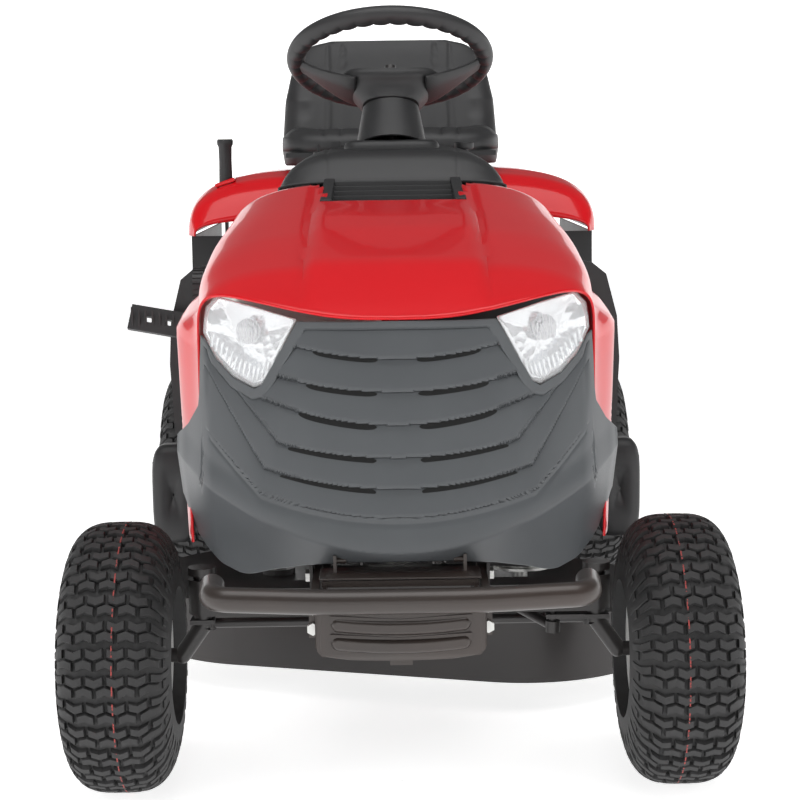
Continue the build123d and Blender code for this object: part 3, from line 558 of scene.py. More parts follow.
def hood_half(y):
    """Half width of the bonnet at its belt."""
    return smooth_through([(-280, 246), (-170, 250), (-60, 253), (100, 253), (300, 246)], y, 20)


def hood_grid(columns=181, rows=120):
    """Bonnet: superellipse arches |x/W|^3.6 + |(z-belt)/H|^3.6 = 1 from the front lip to the rear edge, and
    sides that drop from the belt and swell outwards; the front lip is y = -269 + 112 |x/241|^2.5."""
    v, s = parameters(rows, columns)
    top_share = 0.62
    angle = np.clip(np.abs(s) / top_share, 0, 1) * pi / 2
    down = np.clip((np.abs(s) - top_share) / (1 - top_share), 0, 1)
    power = 3.6
    across = np.sin(angle) ** (2 / power)
    lip = -269 + 112 * (across * 248 / 241) ** 2.5
    lip = lip + 6 * down + 84 * ramp(0.42, 0.56, down)
    y = lip + (HOOD_REAR - lip) * v
    width = hood_half(y)
    belt = smooth_through(BELT, y, 20)
    crown = nose_top(y) - belt
    x = np.sign(s) * width * across
    z = belt + crown * np.cos(angle) ** (2 / power)
    bottom = smooth_through([(-160, 340), (-60, 358), (60, 380), (300, 432)], y, 15)
    z = z - down * (belt - bottom)
    flare = 40 * ramp(-150, -10, y) * (1 - 0.55 * ramp(60, 300, y)) * ramp(-0.03, 0.10, down) * (1 - 0.25 * down)
    x = x + np.sign(s) * flare
    dome_half = 112 - 4 * v
    inside = 1 - ramp(dome_half - 7, dome_half + 5, np.abs(x))
    dome = 7.5 * inside * ramp(-262, -150, y) * (1 - 0.75 * ramp(60, 200, y)) * (angle < 1.4)
    z = z + dome
    lift = -1.5 * np.exp(-((np.abs(x) - dome_half - 6) / 5) ** 2) * (angle < 1.2) * ramp(-262, -200, y)
    return points_at(x, y, z + lift)


def bonnet():
    """Bonnet shell with the vent's cut-out at its rear edge."""
    points = hood_grid()
    middle = (points[1:, 1:] + points[:-1, :-1]) / 2
    keep = ~((np.abs(middle[..., 0]) < 92 + 0.14 * (middle[..., 1] - 176)) & (middle[..., 1] > 178)
             & (middle[..., 2] > 700))
    shell = surface("bonnet_shell", points, keep=keep, sharp=40)
    thicken(shell, 3.2)
    return fit_piece(shell, "hood", "gloss_red", "red_paint", "bonnet")


# for each louvre: height at its middle, rise, reach, slope of its ends and where they turn up
LOUVRES = [(628, 12, 115, 0, 400), (588, 15, 140, 0, 400), (548, 26, 160, 0, 400), (508, 14, 146, 0.95, 146),
           (470, 16, 150, 1.35, 165), (434, 20, 155, 0.72, 170)]
SLOT_REACH = (103, 112, 122, 136, 147)
GRILLE_HALF = 287
MASK_TOP = [(0, 672), (121, 671), (166, 592), (176, 586), (203, 598), (226, 620), (240, 642), (246, 648), (250, 560),
            (268, 530), (GRILLE_HALF, 510)]
MASK_LOW = [(0, 380), (60, 378), (119, 366), (160, 351), (190, 336), (205, 333), (232, 341), (264, 366), (280, 400),
            (GRILLE_HALF, 430)]


def louvre_line(index, x):
    """Height of a louvre's lower edge: a shallow parabola that turns up steeply near its ends."""
    middle, rise, reach, slope, turn = LOUVRES[index]
    x = np.abs(x)
    return middle + rise * (x / reach) ** 2 + slope * np.maximum(x - turn, 0)


def nose_front(x, z):
    """Depth of the nose: its middle profile swept back as 0.00168 x^2, faster round the corners, and the chin
    under the crease as 0.85 of the drop."""
    x = np.abs(x)
    crease = 391 + 52 * (x / 208) ** 2
    profile = smooth_through([(430, -285), (470, -283), (600, -275), (660, -269), (700, -262)], z, 8)
    forward = -291.5
    base = np.where(z > crease + 40, profile, forward + (profile - forward) * ramp(crease, crease + 40, z))
    under = np.maximum(crease - z, 0)
    return base + under * 0.85 + 0.00168 * x ** 2 + 46 * ramp(232, 290, x)


def grille_area(x, z):
    """1 inside the louvred field and 0 outside it."""
    upper = through([(0, 664), (112, 663), (164, 578), (180, 574), (206, 588), (232, 616), (240, 640)], np.abs(x))
    lower = louvre_line(5, x)
    side = 1 - ramp(236, 242, np.abs(x))
    return ramp(lower - 1.5, lower + 1.5, z) * (1 - ramp(upper - 1.5, upper + 1.5, z)) * side


def grille_mask():
    """Grille: the nose's depth over its front outline. Each louvre goes from 5.5 behind the nose at its top to 1.5
    ahead of it at its lower edge, with a rim bead round the field and an undercut chin below the crease."""
    v, u = parameters(190, 291)
    x = GRILLE_HALF * u + 0 * v
    low = smooth_through(MASK_LOW, np.abs(x), 5)
    z = low + (through(MASK_TOP, np.abs(x)) - low) * v
    step = np.zeros_like(z)
    edges = [louvre_line(k, x) for k in range(6)]
    for upper, lower in zip([672 + 0 * x] + edges[:-1], edges):
        step = np.where((z > lower) & (z <= upper), (upper - z) / (upper - lower), step)
    y = nose_front(x, z) + grille_area(x, z) * (5.5 - 7.0 * step)
    y = y + 1.6 * np.exp(-((z - edges[5] + 9) / 4.0) ** 2) * (np.abs(x) < 236)
    y = y + 10 * (1.0 - ramp(0, 16, GRILLE_HALF - np.abs(x))) ** 2
    shell = surface("grille_panel", points_at(x, y, z), sharp=28)
    return fit_piece(thicken(shell, 2.8), "hood", "grille_grey", "grey_plastic", "grille_mask")


def louvre_slots():
    """Painted shadow of the deep slot under each louvre's edge: a flat near-black strip along louvre_line whose height
    swells from its ends as (1 - t^6)^0.5, set in the step below the edge where the opening would be."""
    parts = []
    for row, reach in enumerate(SLOT_REACH):
        tall = 6.4 + row * 1.2
        u, t = parameters(4, 49)
        along = 24 + row + (reach - 24 - row) * (t + 1) / 2
        swell = tall * np.sqrt(np.clip(1 - t ** 6, 0.02, 1))
        z = louvre_line(row, along) - 0.6 - tall / 2 + swell * (0.5 - u)
        y = nose_front(along, z) + 1.0
        for side in (-1, 1):
            faces = grid_faces(4, 49)
            parts.append((points_at(side * along, y, z), faces if side > 0 else faces[:, ::-1]))
    return fit_piece(joined("louvre_slots", parts), "hood", "slot_black", "grey_plastic")


LENS_EDGE = [(122, 673), (176, 687), (226, 697), (240, 682), (243, 652), (227, 622), (204, 600), (177, 588),
             (166, 592)]


def lens_patch(side, inset, depth, bulge, rings=14, around=72):
    """Headlight patch: its outline shrunk towards its middle ring by ring, on the nose's depth."""
    edge = np.array(LENS_EDGE, dtype=float)
    spots = np.linspace(0, len(edge), around + 1)[:-1]
    closed = np.vstack([edge, edge[:1]])
    ring = np.stack([np.interp(spots, np.arange(len(closed)), closed[:, k]) for k in (0, 1)], axis=-1)
    centre = ring.mean(axis=0)
    share = np.linspace(1, 0.02, rings)[:, None, None]
    flat = centre + (ring - centre) * (1 - inset) * share
    x, z = flat[..., 0], flat[..., 1]
    y = nose_front(x, z) + 8 * ramp(660, 692, z) * ramp(150, 235, x) + depth - bulge * (1 - share[..., 0] ** 2)
    return points_at(side * x, y, z)


def headlights():
    """For each side a clear lens, a bright reflector fluted along its lower edge, and the rings of a bulb."""
    for word, side in SIDES:
        turned = side > 0
        cover = surface(f"lamp_lens_{word}", lens_patch(side, 0.0, 0.5, 3.0), wrap_columns=True, flip=turned)
        fit_piece(thicken(cover, 1.6), "hood", "clear_lens", "lens")
        dish = surface(f"lamp_bowl_{word}", lens_patch(side, 0.02, 15.0, -16.0), wrap_columns=True, flip=turned)
        fit_piece(thicken(dish, 1.4), "hood", "mirror_bowl", "reflector")
        if turned:
            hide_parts("headlight_lenses")
            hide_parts("headlight_reflectors")
        flutes = []
        for x in 150 + 6.0 * np.arange(15):
            z = through([(150, 607), (178, 596), (204, 607), (234, 634)], x)
            flutes.append(tube_mesh([(side * x, nose_front(x, z) + 6, z),
                                     (side * (x - 4), nose_front(x, z + 16) + 6, z + 17)], 2.2, 8))
        fit_piece(joined(f"lamp_flutes_{word}", flutes), "hood", "mirror_bowl", "reflector")
        centre = np.array((side * 186.0, nose_front(186, 656) + 14, 655.0))
        ahead = np.array((side * 0.25, -1.0, 0.0))
        rings = [tube_mesh([centre + ahead * d, centre + ahead * (d + 3)], r, 40)
                 for d, r in ((-6, 16), (-2, 13), (2, 8.5))]
        fit_piece(joined(f"lamp_bulb_ring_{word}", rings), "hood", "bulb_ring", "reflector")


# ---- steering wheel --------------------
def wheel_frame(points):
    """Carries points from the steering wheel's own frame (x across, y to the driver, z up the column)."""
    x = np.array((1.0, 0.0, 0.0))
    z = STEER_AXIS / np.linalg.norm(STEER_AXIS)
    y = np.cross(z, x)
    return STEER_POS + points @ np.stack([x, y, z])


def rim_grip(radius=156.0, tube=14.0):
    """Torus whose tube grows by finger bumps on its inner, lower side: r = tube + 2.8 |sin 18a|^0.7."""
    a, b = turns(432)[:, None], turns(24)[None, :]
    facing = np.clip(np.cos(b - pi * 1.22), 0, 1) ** 0.8
    r = tube + 2.8 * np.abs(np.sin(18 * a)) ** 0.7 * facing
    out = radius + r * np.cos(b)
    return points_at(out * np.cos(a), out * np.sin(a), r * np.sin(b))


def spoke_sheet(side):
    """One arm of the wheel: a strip from the hub up to the rim, x = 56 + 95 t, z = -54 + 54 t^1.3, wide at the hub
    and narrow at the rim; its middle hangs 9 (1 - u^4) below its edges."""
    t, u = parameters(40, 21)
    x = side * (56 + 95 * t)
    half = 47 - 34 * ramp(0, 1.0, t) + 5 * t ** 6
    y = -4 + 6 * t + half * u
    depth = -54 + 54 * t ** 1.3 - 9 * (1 - u ** 4) * (1 - 0.6 * t)
    return points_at(x, y, depth)


def hub_pad():
    """Boss under the wheel: superellipse rings |x/X|^2.8 + |y/Y|^2.8 = 1 from the pad's edge in to the column."""
    half_x = np.array([1.0, 40, 66, 76, 80, 81, 80, 76, 70, 60, 50, 47, 46, 14])[:, None]
    half_y = np.array([1.0, 32, 47, 53, 55, 56, 55, 53, 50, 47, 46, 46, 45, 14])[:, None]
    level = np.array([-36, -36.5, -38, -41, -46, -50, -55, -59, -62, -70, -82, -87, -88, -88])[:, None]
    x, y = oval(turns(128)[None, :], half_x, half_y, 2 / 2.8)
    return points_at(x, y, level + 9 * (np.abs(x) / 80) ** 2.2 * (half_x > 60))


def steering_wheel():
    """Grip ring, two dished arms and the hub, whose cup grips the shaft."""
    made = [surface("steering_rim", wheel_frame(rim_grip()), True, True, sharp=180, flip=True)]
    for word, side in SIDES:
        strip = surface(f"steering_arm_{word}", wheel_frame(spoke_sheet(side)), flip=side < 0)
        made.append(rounded(thicken(strip, 6.0), 1.8))
    made.append(turned_shape("steering_hub", wheel_frame(hub_pad()), sharp=40))
    for piece in made:
        fit_piece(piece, "steering", "black_moulding", "black_plastic")
    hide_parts("steering_wheel")


# ---- seat --------------------
SEAMS = (92, 122)


def seat_plan(half_x, half_y, middle):
    """Superellipse plan rings about a middle, drawn in by up to 5.5% towards the front."""
    x, y = oval(turns(240)[None, :], half_x, half_y, 0.42)
    y = middle + y
    return x * (0.945 + 0.05 * ramp(880, 1180, y)), y


def channel(x):
    """Depth 0 to 1 of the sewn grooves on both sides of the middle: exp(-((|x| - seam) / 3.2)^2)."""
    return sum(np.exp(-((np.abs(x) - seam) / 3.2) ** 2) for seam in SEAMS)


def seat_back_half(height):
    """Half width of the back against height, from the cushion to the rounded top."""
    return smooth_through([(860, 211), (907, 211), (970, 207), (1029, 194), (1060, 178), (1078, 160), (1086, 138),
                           (1091, 100)], height, 5)


def seat_back_grid():
    """Padded back: a closed loop of sections from the seat's rear corner to the top; each section is a bolstered
    superellipse, thick at its sides, grooved where the cover is sewn and pleated on the bolsters."""
    v = np.linspace(0, 1, 110)[:, None]
    u = turns(180)[None, :]
    height = 886 + 203.5 * np.sin(v * pi / 2)
    lean = 1216 + (height - 886) * 0.335
    half = seat_back_half(height)
    thick = 31 * (1 - ramp(990, 1096, height)) + 5
    x = half * bowed(np.cos(u), 0.55)
    face = bowed(np.sin(u), 0.75)
    bolster = 20 * ramp(0.60, 0.9, np.abs(x) / 214) * (1 - ramp(960, 1088, height))
    groove = channel(x) * 5.0 * (1 - ramp(1075, 1089, height))
    pleats = 3.0 * np.abs(np.sin((height - 930) / 13.0)) * ramp(150, 168, np.abs(x)) * ramp(925, 940, height) * (
        1 - ramp(1000, 1010, height))
    puff = 7 * (1 - (x / 214) ** 2)
    front = -(bolster + puff) * np.abs(face) + (groove + pleats) * np.abs(face)
    return points_at(x, lean + face * thick + np.where(face < 0, front, 0), height)


def seat_base_grid():
    """Padded cushion: plan rings rising to a crowned top with the same sewn grooves and side bolsters."""
    share = np.concatenate([np.linspace(0.0, 0.94, 40), np.linspace(0.95, 1, 10), [1.0, 1.0, 0.96, 0.5, 0.0]])[:, None]
    x, y = seat_plan(210 * share, 172 * share, 1040)
    edge = np.sqrt(np.clip(1 - np.clip(share, 0, 1) ** 9, 0, 1))
    top = 884 + 30 * edge + 9 * ramp(130, 185, np.abs(x)) * edge
    pleats = 2.0 * np.abs(np.sin(y / 14.0)) * ramp(145, 165, np.abs(x)) * edge
    level = top - channel(x) * 4.0 * edge - pleats
    return points_at(x, y, np.where(np.arange(len(share))[:, None] > 50, 873, level))


def seat_skirt():
    """Moulded edge below the cushion: plan rings from the cushion's waist down to the fender."""
    share = np.array([0.97, 1.0, 1.005, 1.0, 0.985, 0.975])[:, None]
    x, y = seat_plan(209 * share, 170 * share, 1044)
    return points_at(x, y, np.array([903, 898, 888, 868, 850, 847])[:, None])


def seat():
    """Vinyl cushion and back on the moulded pan and its skirt."""
    skirt = turned_shape("seat_skirt", seat_skirt())
    fit_piece(thicken(skirt, 3.0), "seat", "seat_vinyl", "seat")
    back = reworked(turned_shape("seat_back_pad", seat_back_grid(), 180), fill=290)
    base = turned_shape("seat_base_pad", seat_base_grid(), 180)
    for pad in (back, base):
        fit_piece(pad, "seat", "seat_vinyl", "seat")
    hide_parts("seat_cushion")


# ---- dashboard, fender --------------------
FENDER_SKIRT = 724


def dash_grid():
    """Instrument cowl: at each y a superellipse arch whose shoulders slope outwards, z = 806 + H (1 - |u|^4.2)^0.62."""
    v, u = parameters(70, 121)
    y = 398 + 214 * v
    top = smooth_through([(398, 822), (410, 838), (432, 862), (452, 871), (560, 879), (590, 872), (612, 840)], y, 6)
    half = smooth_through([(398, 176), (470, 176), (560, 168), (612, 140)], y, 10)
    x = half * bowed(u, 0.9)
    arch = (1 - np.clip(np.abs(u), 0, 1) ** 4.2) ** 0.62
    floor = 806 + 10 * (1 - ramp(398, 420, y))
    z = floor + (top - floor) * arch
    crease = -1.6 * np.exp(-((np.abs(x) - 102) / 2.2) ** 2) * (arch > 0.3)
    return points_at(x, y, z + crease)


def dashboard():
    """Cowl, raised collar of the column and the louvred intake in front of it."""
    cowl = thicken(surface("dash_cowl", dash_grid(), sharp=60), 3.5)
    fit_piece(cowl, "chassis", "black_moulding", "black_plastic", "dashboard")
    share = np.array([1.0, 0.99, 0.95, 0.86, 0.62, 0.3])[:, None]
    level = np.array([866, 880, 887, 890, 891, 891])[:, None]
    x, y = oval(turns(96)[None, :], 78 * share, 52 * share, 0.5)
    collar = turned_shape("dash_collar", points_at(x, 530 + y, level))
    fit_piece(thicken(collar, 3.0), "chassis", "black_moulding", "black_plastic")
    slats = []
    for k in range(6):
        y0, z0 = 196 + 33 * k, 787 + 6.4 * k
        slats.append(box_mesh((-90, y0, z0), (90, y0 + 7, z0 + 9), 1.0))
    slats.append(box_mesh((-98, 190, 782), (98, 398, 784)))
    for side in (-1, 1):
        low, high = sorted((side * 88, side * 107))
        points, faces = box_mesh((low, 178, 784), (high, 398, 807), 1.5)
        points[:, 2] += (points[:, 1] - 186) * 0.12 * (points[:, 2] > 790)
        slats.append((points, faces))
    fit_piece(rounded(joined("dash_intake", slats), 0.8), "chassis", "black_moulding", "black_plastic")


def fender_grid():
    """Rear fender: arch x = W sin(a)^(2/4.2), z = S + H cos(a)^(2/3) across, its front and rear edges rolled down
    to the skirt S."""
    v, u = parameters(140, 161)
    angle = np.abs(u) * pi / 2
    y = 852 + 640 * v
    roll = smooth_through([(852, 745), (858, 775), (874, 806), (900, 826), (950, 838), (1330, 838), (1420, 826),
                           (1470, 796), (1492, 740)], y, 7)
    width = smooth_through([(852, 352), (880, 366), (930, 370), (1420, 370), (1492, 350)], y, 12)
    across = np.sin(angle) ** (2 / 4.2)
    x = np.sign(u) * width * across
    return points_at(x, y, FENDER_SKIRT + (roll - FENDER_SKIRT) * np.cos(angle) ** (2 / 3.0))


def fender():
    """Red rear shell, and the trim round the slot of the height lever."""
    points = fender_grid()
    middle = (points[1:, 1:] + points[:-1, :-1]) / 2
    slot_x = JOINTS["height_lever_turn"]["pos_m"][0] / MM
    keep = ~((np.abs(middle[..., 0] - slot_x) < 13) & (middle[..., 1] > 915) & (middle[..., 1] < 1068))
    shell = thicken(surface("fender_shell", points, keep=keep), 3.4)
    fit_piece(shell, "chassis", "gloss_red", "red_paint", "rear_fender")
    path = np.array([(slot_x - 15, 908), (slot_x + 15, 908), (slot_x + 15, 1075), (slot_x - 15, 1075)])
    level = FENDER_SKIRT + 114 * (1 - (np.abs(path[:, 0]) / 370) ** 4.2) ** (1 / 3.0) + 1
    trim = joined("lever_slot_trim", [tube_mesh(np.column_stack([path, level]), 3.5, 10, True)])
    fit_piece(trim, "chassis", "gloss_red", "red_paint")


# ---- small fittings --------------------
def rib_field(x, z, middle, sag, reach, tall):
    """0 to 1 over a bowed, round-ended embossed rib."""
    line = middle - sag * (1 - (x / reach) ** 2)
    across = np.abs(z - line) / (tall / 2)
    end = np.clip((np.abs(x) - (reach - tall / 2)) / (tall / 2), 0, None)
    return 1 - ramp(0.62, 1.05, np.sqrt(across ** 2 + end ** 2))


def guard_skin():
    """Pressed front of the guard: a bowed lower edge and two embossed ribs, rolled round at its sides,
    and its top pan, which swells by 2.8 across its front."""
    b, a = parameters(80, 161)
    x = 104 * a + 0 * b
    low = smooth_through([(0, 259), (60, 261), (92, 266), (104, 274)], np.abs(x), 4)
    z = low + (323 - low) * b
    y = -304 + 10 * ramp(97, 104, np.abs(x)) + 0.00035 * x ** 2 + 4 * (1 - ramp(259, 268, z))
    for middle in (283, 306):
        y = y - 6.0 * rib_field(x, z, middle, 5, 84, 15)
    skin = thicken(surface("guard_skin", points_at(x, y, z), sharp=60), 2.2)
    fit_piece(skin, "chassis", "brown_coat", "black_metal")
    x = 99 * a
    top = 359 + 2.8 * np.exp(-((b - 0.35) / 0.22) ** 2) * (1 - ramp(84, 92, np.abs(x)))
    pan = thicken(surface("guard_pan_skin", points_at(x, -297 + 60 * b, top), sharp=60), 2.0)
    fit_piece(pan, "chassis", "brown_coat", "black_metal")


def lever_grip():
    """Moulded grip: turned profile with a flared collar and a mushroom top."""
    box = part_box("height_lever")
    x = (box[0][0] + box[1][0]) / 2 / MM
    y = (box[0][1] + box[1][1]) / 2 / MM - AXLE_Y
    top = box[1][2] / MM
    profile = np.array([(0.2, -97), (10.5, -97), (12.4, -90), (12.2, -70), (11.6, -40), (12.2, -14), (14.4, -10),
                        (15.0, -4), (13.6, -0.6), (9, 0), (0.2, 0)])
    a = turns(48)[None, :]
    ripple = 1 - 0.035 * (np.sin(12 * a) > 0.2) * (np.abs(profile[:, 1:2] + 52) < 34)
    r = profile[:, :1] * ripple
    points = points_at(x + r * np.cos(a), y + r * np.sin(a), top + profile[:, 1:2])
    grip = turned_shape("lever_grip", points)
    fit_piece(grip, "lever", "black_moulding", "black_plastic")


def pedal_ribs():
    """Rubber ribs across the pedal pad."""
    parts = []
    for k in range(9):
        s = (k - 4) / 4
        centre = np.array((-368 + 43 * s, 404 - 6.6, 612 - 8.6 * s - 0.5))
        points, faces = box_mesh((-2, -2, -17), (2, 1, 17), 0.6)
        parts.append((points + centre, faces))
    fit_piece(joined("pedal_ribs", parts), "pedal", "tyre_rubber", "rubber")


def step_aprons():
    """Rounded front of each footboard: superellipse rings |x/36|^4 + |z/82|^4 = 1 that close in towards the front."""
    share = np.array([0.05, 0.6, 0.86, 0.96, 1.0, 1.0])[:, None]
    y = np.array([488, 488.5, 491, 497, 506, 528])[:, None]
    x, z = oval(turns(96)[None, :], 36 * share, 82 * share, 0.5)
    for word, side in SIDES:
        apron = turned_shape(f"step_apron_{word}", points_at(side * 366 + x, y, 318 + z))
        fit_piece(thicken(apron, 2.5), "chassis", "black_moulding", "black_plastic")


def wire_hook():
    """Bent wire loop below the guard."""
    path = [(-19, -262, 262), (-19, -268, 256), (-13, -270, 252), (13, -270, 252), (19, -268, 256), (19, -262, 262)]
    fit_piece(joined("guard_hook", [tube_mesh(path, 1.6, 10)]), "chassis", "zinc", "steel")


def valve_stems():
    """Tyre valve of each rim."""
    for end, (_, radius, track, y, _, _, reach) in WHEELS.items():
        for word, side in SIDES:
            x = side * (track + 20)
            path = [(x, y, radius + reach - 22), (x + side * 22, y, radius + reach - 30)]
            stem = joined(f"valve_{end}_{word}", [tube_mesh(path, (5.0, 3.6), 14)])
            fit_piece(stem, f"{end}_{word}_wheel", "black_moulding", "rubber")


# ---- wheels --------------------
def tyre(end, word, side):
    """One tyre with its tread blocks, and the painted line round them."""
    box, radius, track, y, rows, bars, _ = WHEELS[end]
    half = (box[1][0] - box[0][0]) / 2 / MM
    rim_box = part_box(f"{end}_left_rim")
    rim_radius = (rim_box[1][2] - rim_box[0][2]) / 2 / MM
    x = track * side
    body = f"{end}_{word}_wheel"
    parts = [carcass(radius, half, rim_radius)] + tread(radius, half, rim_radius, rows, bars)
    rubber = joined(f"{end}_{word}_tyre_tread", wheel_place(parts, x, y, radius), 32)
    fit_piece(rubber, body, "tyre_rubber", "tyre", f"{end}_{word}_tyre")
    dashes = joined(f"{end}_{word}_tread_line", tread_line(radius + 0.12, x - side * 0.12 * half, y))
    fit_piece(dashes, body, "tread_line", "tyre")


# ---- finishes of the carried-over nodes --------------------
PAINTED = {
    "black_coat": ("left_frame_rail", "right_frame_rail", "engine_plate", "rear_plate", "axle_bracket",
                   "front_axle_beam", "left_knuckle", "right_knuckle", "tie_rod", "drag_link", "seat_rails",
                   "slide_carriage", "muffler", "transaxle", "blower_housing", "mower_deck", "height_lever",
                   "steering_shaft"),
    "brown_coat": ("front_bumper", "guard_plate", "tow_hitch_plate"),
    "black_moulding": ("dashboard", "column_shroud", "console_shell", "floor_pan", "steering_wheel", "seat_pan",
                       "fuel_cap", "drive_pedal", "throttle_lever", "ignition_key", "blade_switch", "battery"),
    "gloss_red": ("rear_fender", "bonnet"),
    "grille_grey": ("grille_mask",),
    "zinc": ("bolts", "left_blade", "right_blade", "left_spindle", "right_spindle", "sector_gear", "crank_pulley",
             "left_axle_shaft", "right_axle_shaft"),
    "cast_metal": ("engine_block",),
    "tyre_rubber": ("drive_belt", "blade_belt", "front_left_tyre", "front_right_tyre", "rear_left_tyre",
                    "rear_right_tyre"),
    "rim_paint": ("front_left_rim", "front_right_rim", "rear_left_rim", "rear_right_rim"),
    "seat_vinyl": ("seat_cushion",),
    "tank_milk": ("fuel_tank",),
    "clear_lens": ("headlight_lenses",),
    "mirror_bowl": ("headlight_reflectors",),
}


def paint_nodes():
    """Gives every carried-over node its finish."""
    left = set(frame["nodes"])
    for name, nodes in PAINTED.items():
        for node in nodes:
            for spot in frame["nodes"][node].material_slots:
                spot.material = finish(name)
            left.discard(node)
    if left:
        raise RuntimeError("nodes with no finish: " + ", ".join(sorted(left)))


# ---- stage --------------------
BOWL_RADIUS = 13000
BOWL_BEND = 600
WALL_TOP = 3400
CAMERA_PLACE = (-0.012, AXLE_Y * MM - 2.5, 0.885)
CAMERA_TURN, CAMERA_DIP, CAMERA_ROLL = -0.38, 7.89, -0.8
LIGHT_AIM = Vector((0.0, 0.0, 0.5))


def floor_bowl():
    """Round pale floor whose rim rises as a quarter circle to a low wall: r = R + B sin t, z = B (1 - cos t)."""
    t = np.linspace(0, pi / 2, 16)
    r = np.concatenate([[1.0, 5000, 11000], BOWL_RADIUS + BOWL_BEND * np.sin(t), [BOWL_RADIUS + BOWL_BEND]])
    z = np.concatenate([[0, 0, 0], BOWL_BEND * (1 - np.cos(t)), [WALL_TOP]])
    turn = turns(96)[None, :]
    points = points_at(r[:, None] * np.cos(turn), r[:, None] * np.sin(turn), z[:, None])
    floor = surface("studio_floor", points, wrap_columns=True, sharp=180)
    s = Shader("studio_white")
    cloud = s.noise(0.6, 2)
    tone = s.mixed(cloud, (0.86, 0.86, 0.86, 1), (0.9, 0.9, 0.9, 1))
    floor.data.materials.append(s.finish(Base_Color=tone, Roughness=0.95, Emission_Color=(1, 1, 1, 1),
                                         Emission_Strength=0.78, Specular_IOR_Level=0.0))


def soft_light(name, place, size, power):
    """Large area light turned to the mower's middle."""
    data = bpy.data.lights.new(name, "AREA")
    data.shape = "RECTANGLE"
    data.size, data.size_y = size
    data.energy = power
    lamp = bpy.data.objects.new(name, data)
    lamp.location = place
    lamp.rotation_euler = (LIGHT_AIM - Vector(place)).to_track_quat("-Z", "Y").to_euler()
    bpy.context.scene.collection.objects.link(lamp)
    return lamp


def camera():
    """Camera ahead of the front axle, turned a little sideways, dipped and rolled."""
    data = bpy.data.cameras.new("front_camera")
    data.sensor_width = 36.0
    data.lens = colours().focal_length
    data.clip_end = 100.0
    view = bpy.data.objects.new("front_camera", data)
    view.matrix_world = (Matrix.Translation(CAMERA_PLACE) @ Matrix.Rotation(radians(CAMERA_TURN), 4, "Z")
                         @ Matrix.Rotation(radians(90 - CAMERA_DIP), 4, "X")
                         @ Matrix.Rotation(radians(CAMERA_ROLL), 4, "Z"))
    bpy.context.scene.collection.objects.link(view)
    bpy.context.scene.camera = view


# ---- the add-on --------------------
class MowerColours(bpy.types.PropertyGroup):
    """Colours of the mower's finishes, and the studio's strengths"""

    red: bpy.props.FloatVectorProperty(name="Body red", description="Colour of bonnet and rear fender",
                                       default=(0.62, 0.005, 0.010), subtype="COLOR", min=0, max=1)
    grille: bpy.props.FloatVectorProperty(name="Grille grey", description="Colour of the moulded grille",
                                          default=(0.072, 0.077, 0.082), subtype="COLOR", min=0, max=1)
    moulding: bpy.props.FloatVectorProperty(name="Black moulding", description="Colour of dash, steps and controls",
                                            default=(0.022, 0.022, 0.023), subtype="COLOR", min=0, max=1)
    coat: bpy.props.FloatVectorProperty(name="Bumper coat", description="Colour of bumper and guard plate",
                                        default=(0.035, 0.030, 0.028), subtype="COLOR", min=0, max=1)
    focal_length: bpy.props.FloatProperty(name="Focal length", description="Focal length of the front camera",
                                          default=83.34, min=10, max=300, unit="CAMERA")
    key_power: bpy.props.FloatProperty(name="Key light", description="Power of the overhead soft light",
                                       default=84.0, min=0, unit="POWER")
    sky: bpy.props.FloatProperty(name="Surround", description="Brightness of the white surround", default=0.16, min=0)


class MOWER_OT_tyres(bpy.types.Operator):
    """Model the four treaded tyres and their valves"""

    bl_idname = "mower.tyres"
    bl_label = "Tyres"

    def execute(self, context):
        for end in WHEELS:
            for word, side in SIDES:
                tyre(end, word, side)
        valve_stems()
        return {"FINISHED"}


class MOWER_OT_bonnet(bpy.types.Operator):
    """Model the bonnet shell"""

    bl_idname = "mower.bonnet"
    bl_label = "Bonnet"

    def execute(self, context):
        bonnet()
        return {"FINISHED"}


class MOWER_OT_grille(bpy.types.Operator):
    """Model the louvred grille and the headlights"""

    bl_idname = "mower.grille"
    bl_label = "Grille and headlights"

    def execute(self, context):
        grille_mask()
        louvre_slots()
        headlights()
        return {"FINISHED"}


class MOWER_OT_steering(bpy.types.Operator):
    """Model the steering wheel"""

    bl_idname = "mower.steering"
    bl_label = "Steering wheel"

    def execute(self, context):
        steering_wheel()
        return {"FINISHED"}


class MOWER_OT_dash(bpy.types.Operator):
    """Model the dashboard cowl and its air intake"""

    bl_idname = "mower.dash"
    bl_label = "Dashboard"

    def execute(self, context):
        dashboard()
        return {"FINISHED"}


class MOWER_OT_seat(bpy.types.Operator):
    """Model the padded seat"""

    bl_idname = "mower.seat"
    bl_label = "Seat"

    def execute(self, context):
        seat()
        return {"FINISHED"}


class MOWER_OT_fender(bpy.types.Operator):
    """Model the rear fender and the lever's slot"""

    bl_idname = "mower.fender"
    bl_label = "Rear fender"

    def execute(self, context):
        fender()
        return {"FINISHED"}


class MOWER_OT_guard(bpy.types.Operator):
    """Model the pressed skins of the guard plate, its hook and the fronts of the footboards"""

    bl_idname = "mower.guard"
    bl_label = "Guard plate"

    def execute(self, context):
        guard_skin()
        step_aprons()
        wire_hook()
        return {"FINISHED"}


class MOWER_OT_controls(bpy.types.Operator):
    """Model the lever's grip and the pedal's rubber"""

    bl_idname = "mower.controls"
    bl_label = "Lever and pedal"

    def execute(self, context):
        lever_grip()
        pedal_ribs()
        return {"FINISHED"}


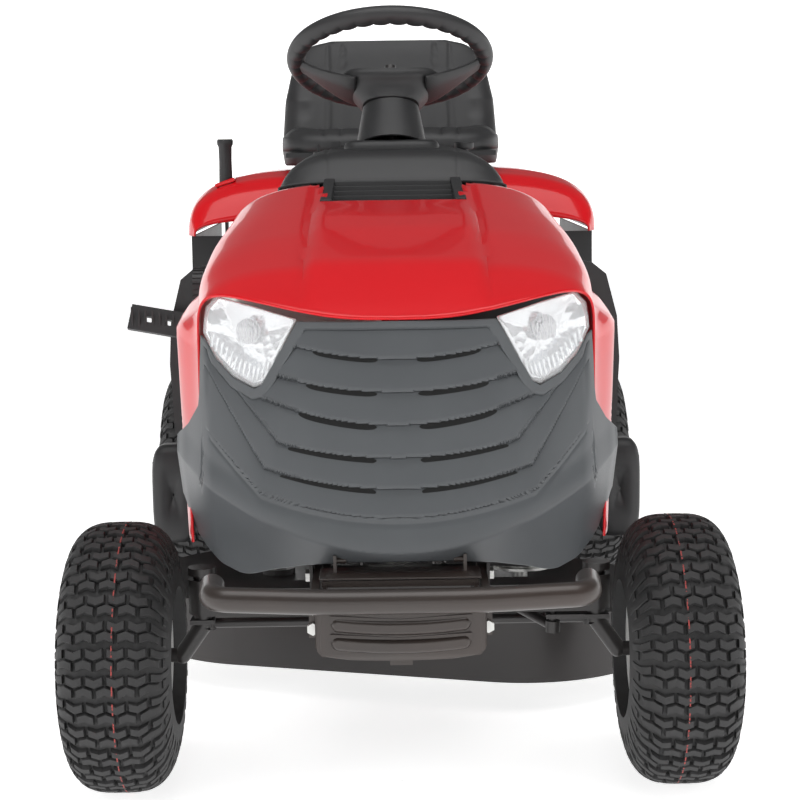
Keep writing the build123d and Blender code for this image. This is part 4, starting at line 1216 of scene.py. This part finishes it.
class MOWER_OT_finishes(bpy.types.Operator):
    """Give every part of the frame its finish"""

    bl_idname = "mower.finishes"
    bl_label = "Finishes"

    def execute(self, context):
        paint_nodes()
        return {"FINISHED"}


class MOWER_OT_stage(bpy.types.Operator):
    """Set the floor, the soft lights and the camera"""

    bl_idname = "mower.stage"
    bl_label = "Stage"

    def execute(self, context):
        floor_bowl()
        camera()
        key = colours().key_power
        soft_light("overhead", (0.0, -1.2, 3.6), (4.0, 2.6), key)
        for name, side, share in (("left_bank", -1, 0.5), ("right_bank", 1, 0.4)):
            bank = soft_light(name, (side * 3.2, -2.9, 1.7), (1.0, 2.4), key * share)
            bank.visible_glossy = False
        world = bpy.data.worlds.new("white_surround")
        world.use_nodes = True
        ground = world.node_tree.nodes["Background"]
        ground.inputs["Color"].default_value = (1, 1, 1, 1)
        ground.inputs["Strength"].default_value = colours().sky
        context.scene.world = world
        context.scene.view_settings.view_transform = "Standard"
        return {"FINISHED"}


ORDER = (MOWER_OT_finishes, MOWER_OT_tyres, MOWER_OT_bonnet, MOWER_OT_grille, MOWER_OT_steering, MOWER_OT_dash,
         MOWER_OT_seat, MOWER_OT_fender, MOWER_OT_guard, MOWER_OT_controls, MOWER_OT_stage)


class MOWER_PT_panel(bpy.types.Panel):
    """Lists the mower's pieces and finishes"""

    bl_idname = "MOWER_PT_panel"
    bl_label = "Riding mower"
    bl_space_type = "VIEW_3D"
    bl_region_type = "UI"
    bl_category = "Mower"

    def draw(self, context):
        column = self.layout.column()
        for name in MowerColours.__annotations__:
            column.prop(context.scene.mower_colours, name)
        for operator in ORDER:
            column.operator(operator.bl_idname)


CLASSES = (MowerColours, *ORDER, MOWER_PT_panel)


def register():
    for kind in CLASSES:
        bpy.utils.register_class(kind)
    bpy.types.Scene.mower_colours = bpy.props.PointerProperty(type=MowerColours)


def unregister():
    del bpy.types.Scene.mower_colours
    for kind in reversed(CLASSES):
        bpy.utils.unregister_class(kind)


def main():
    """Makes every piece in order."""
    register()
    for operator in ORDER:
        group, word = operator.bl_idname.split(".")
        getattr(getattr(bpy.ops, group), word)()


if __name__ == "__main__":
    main()
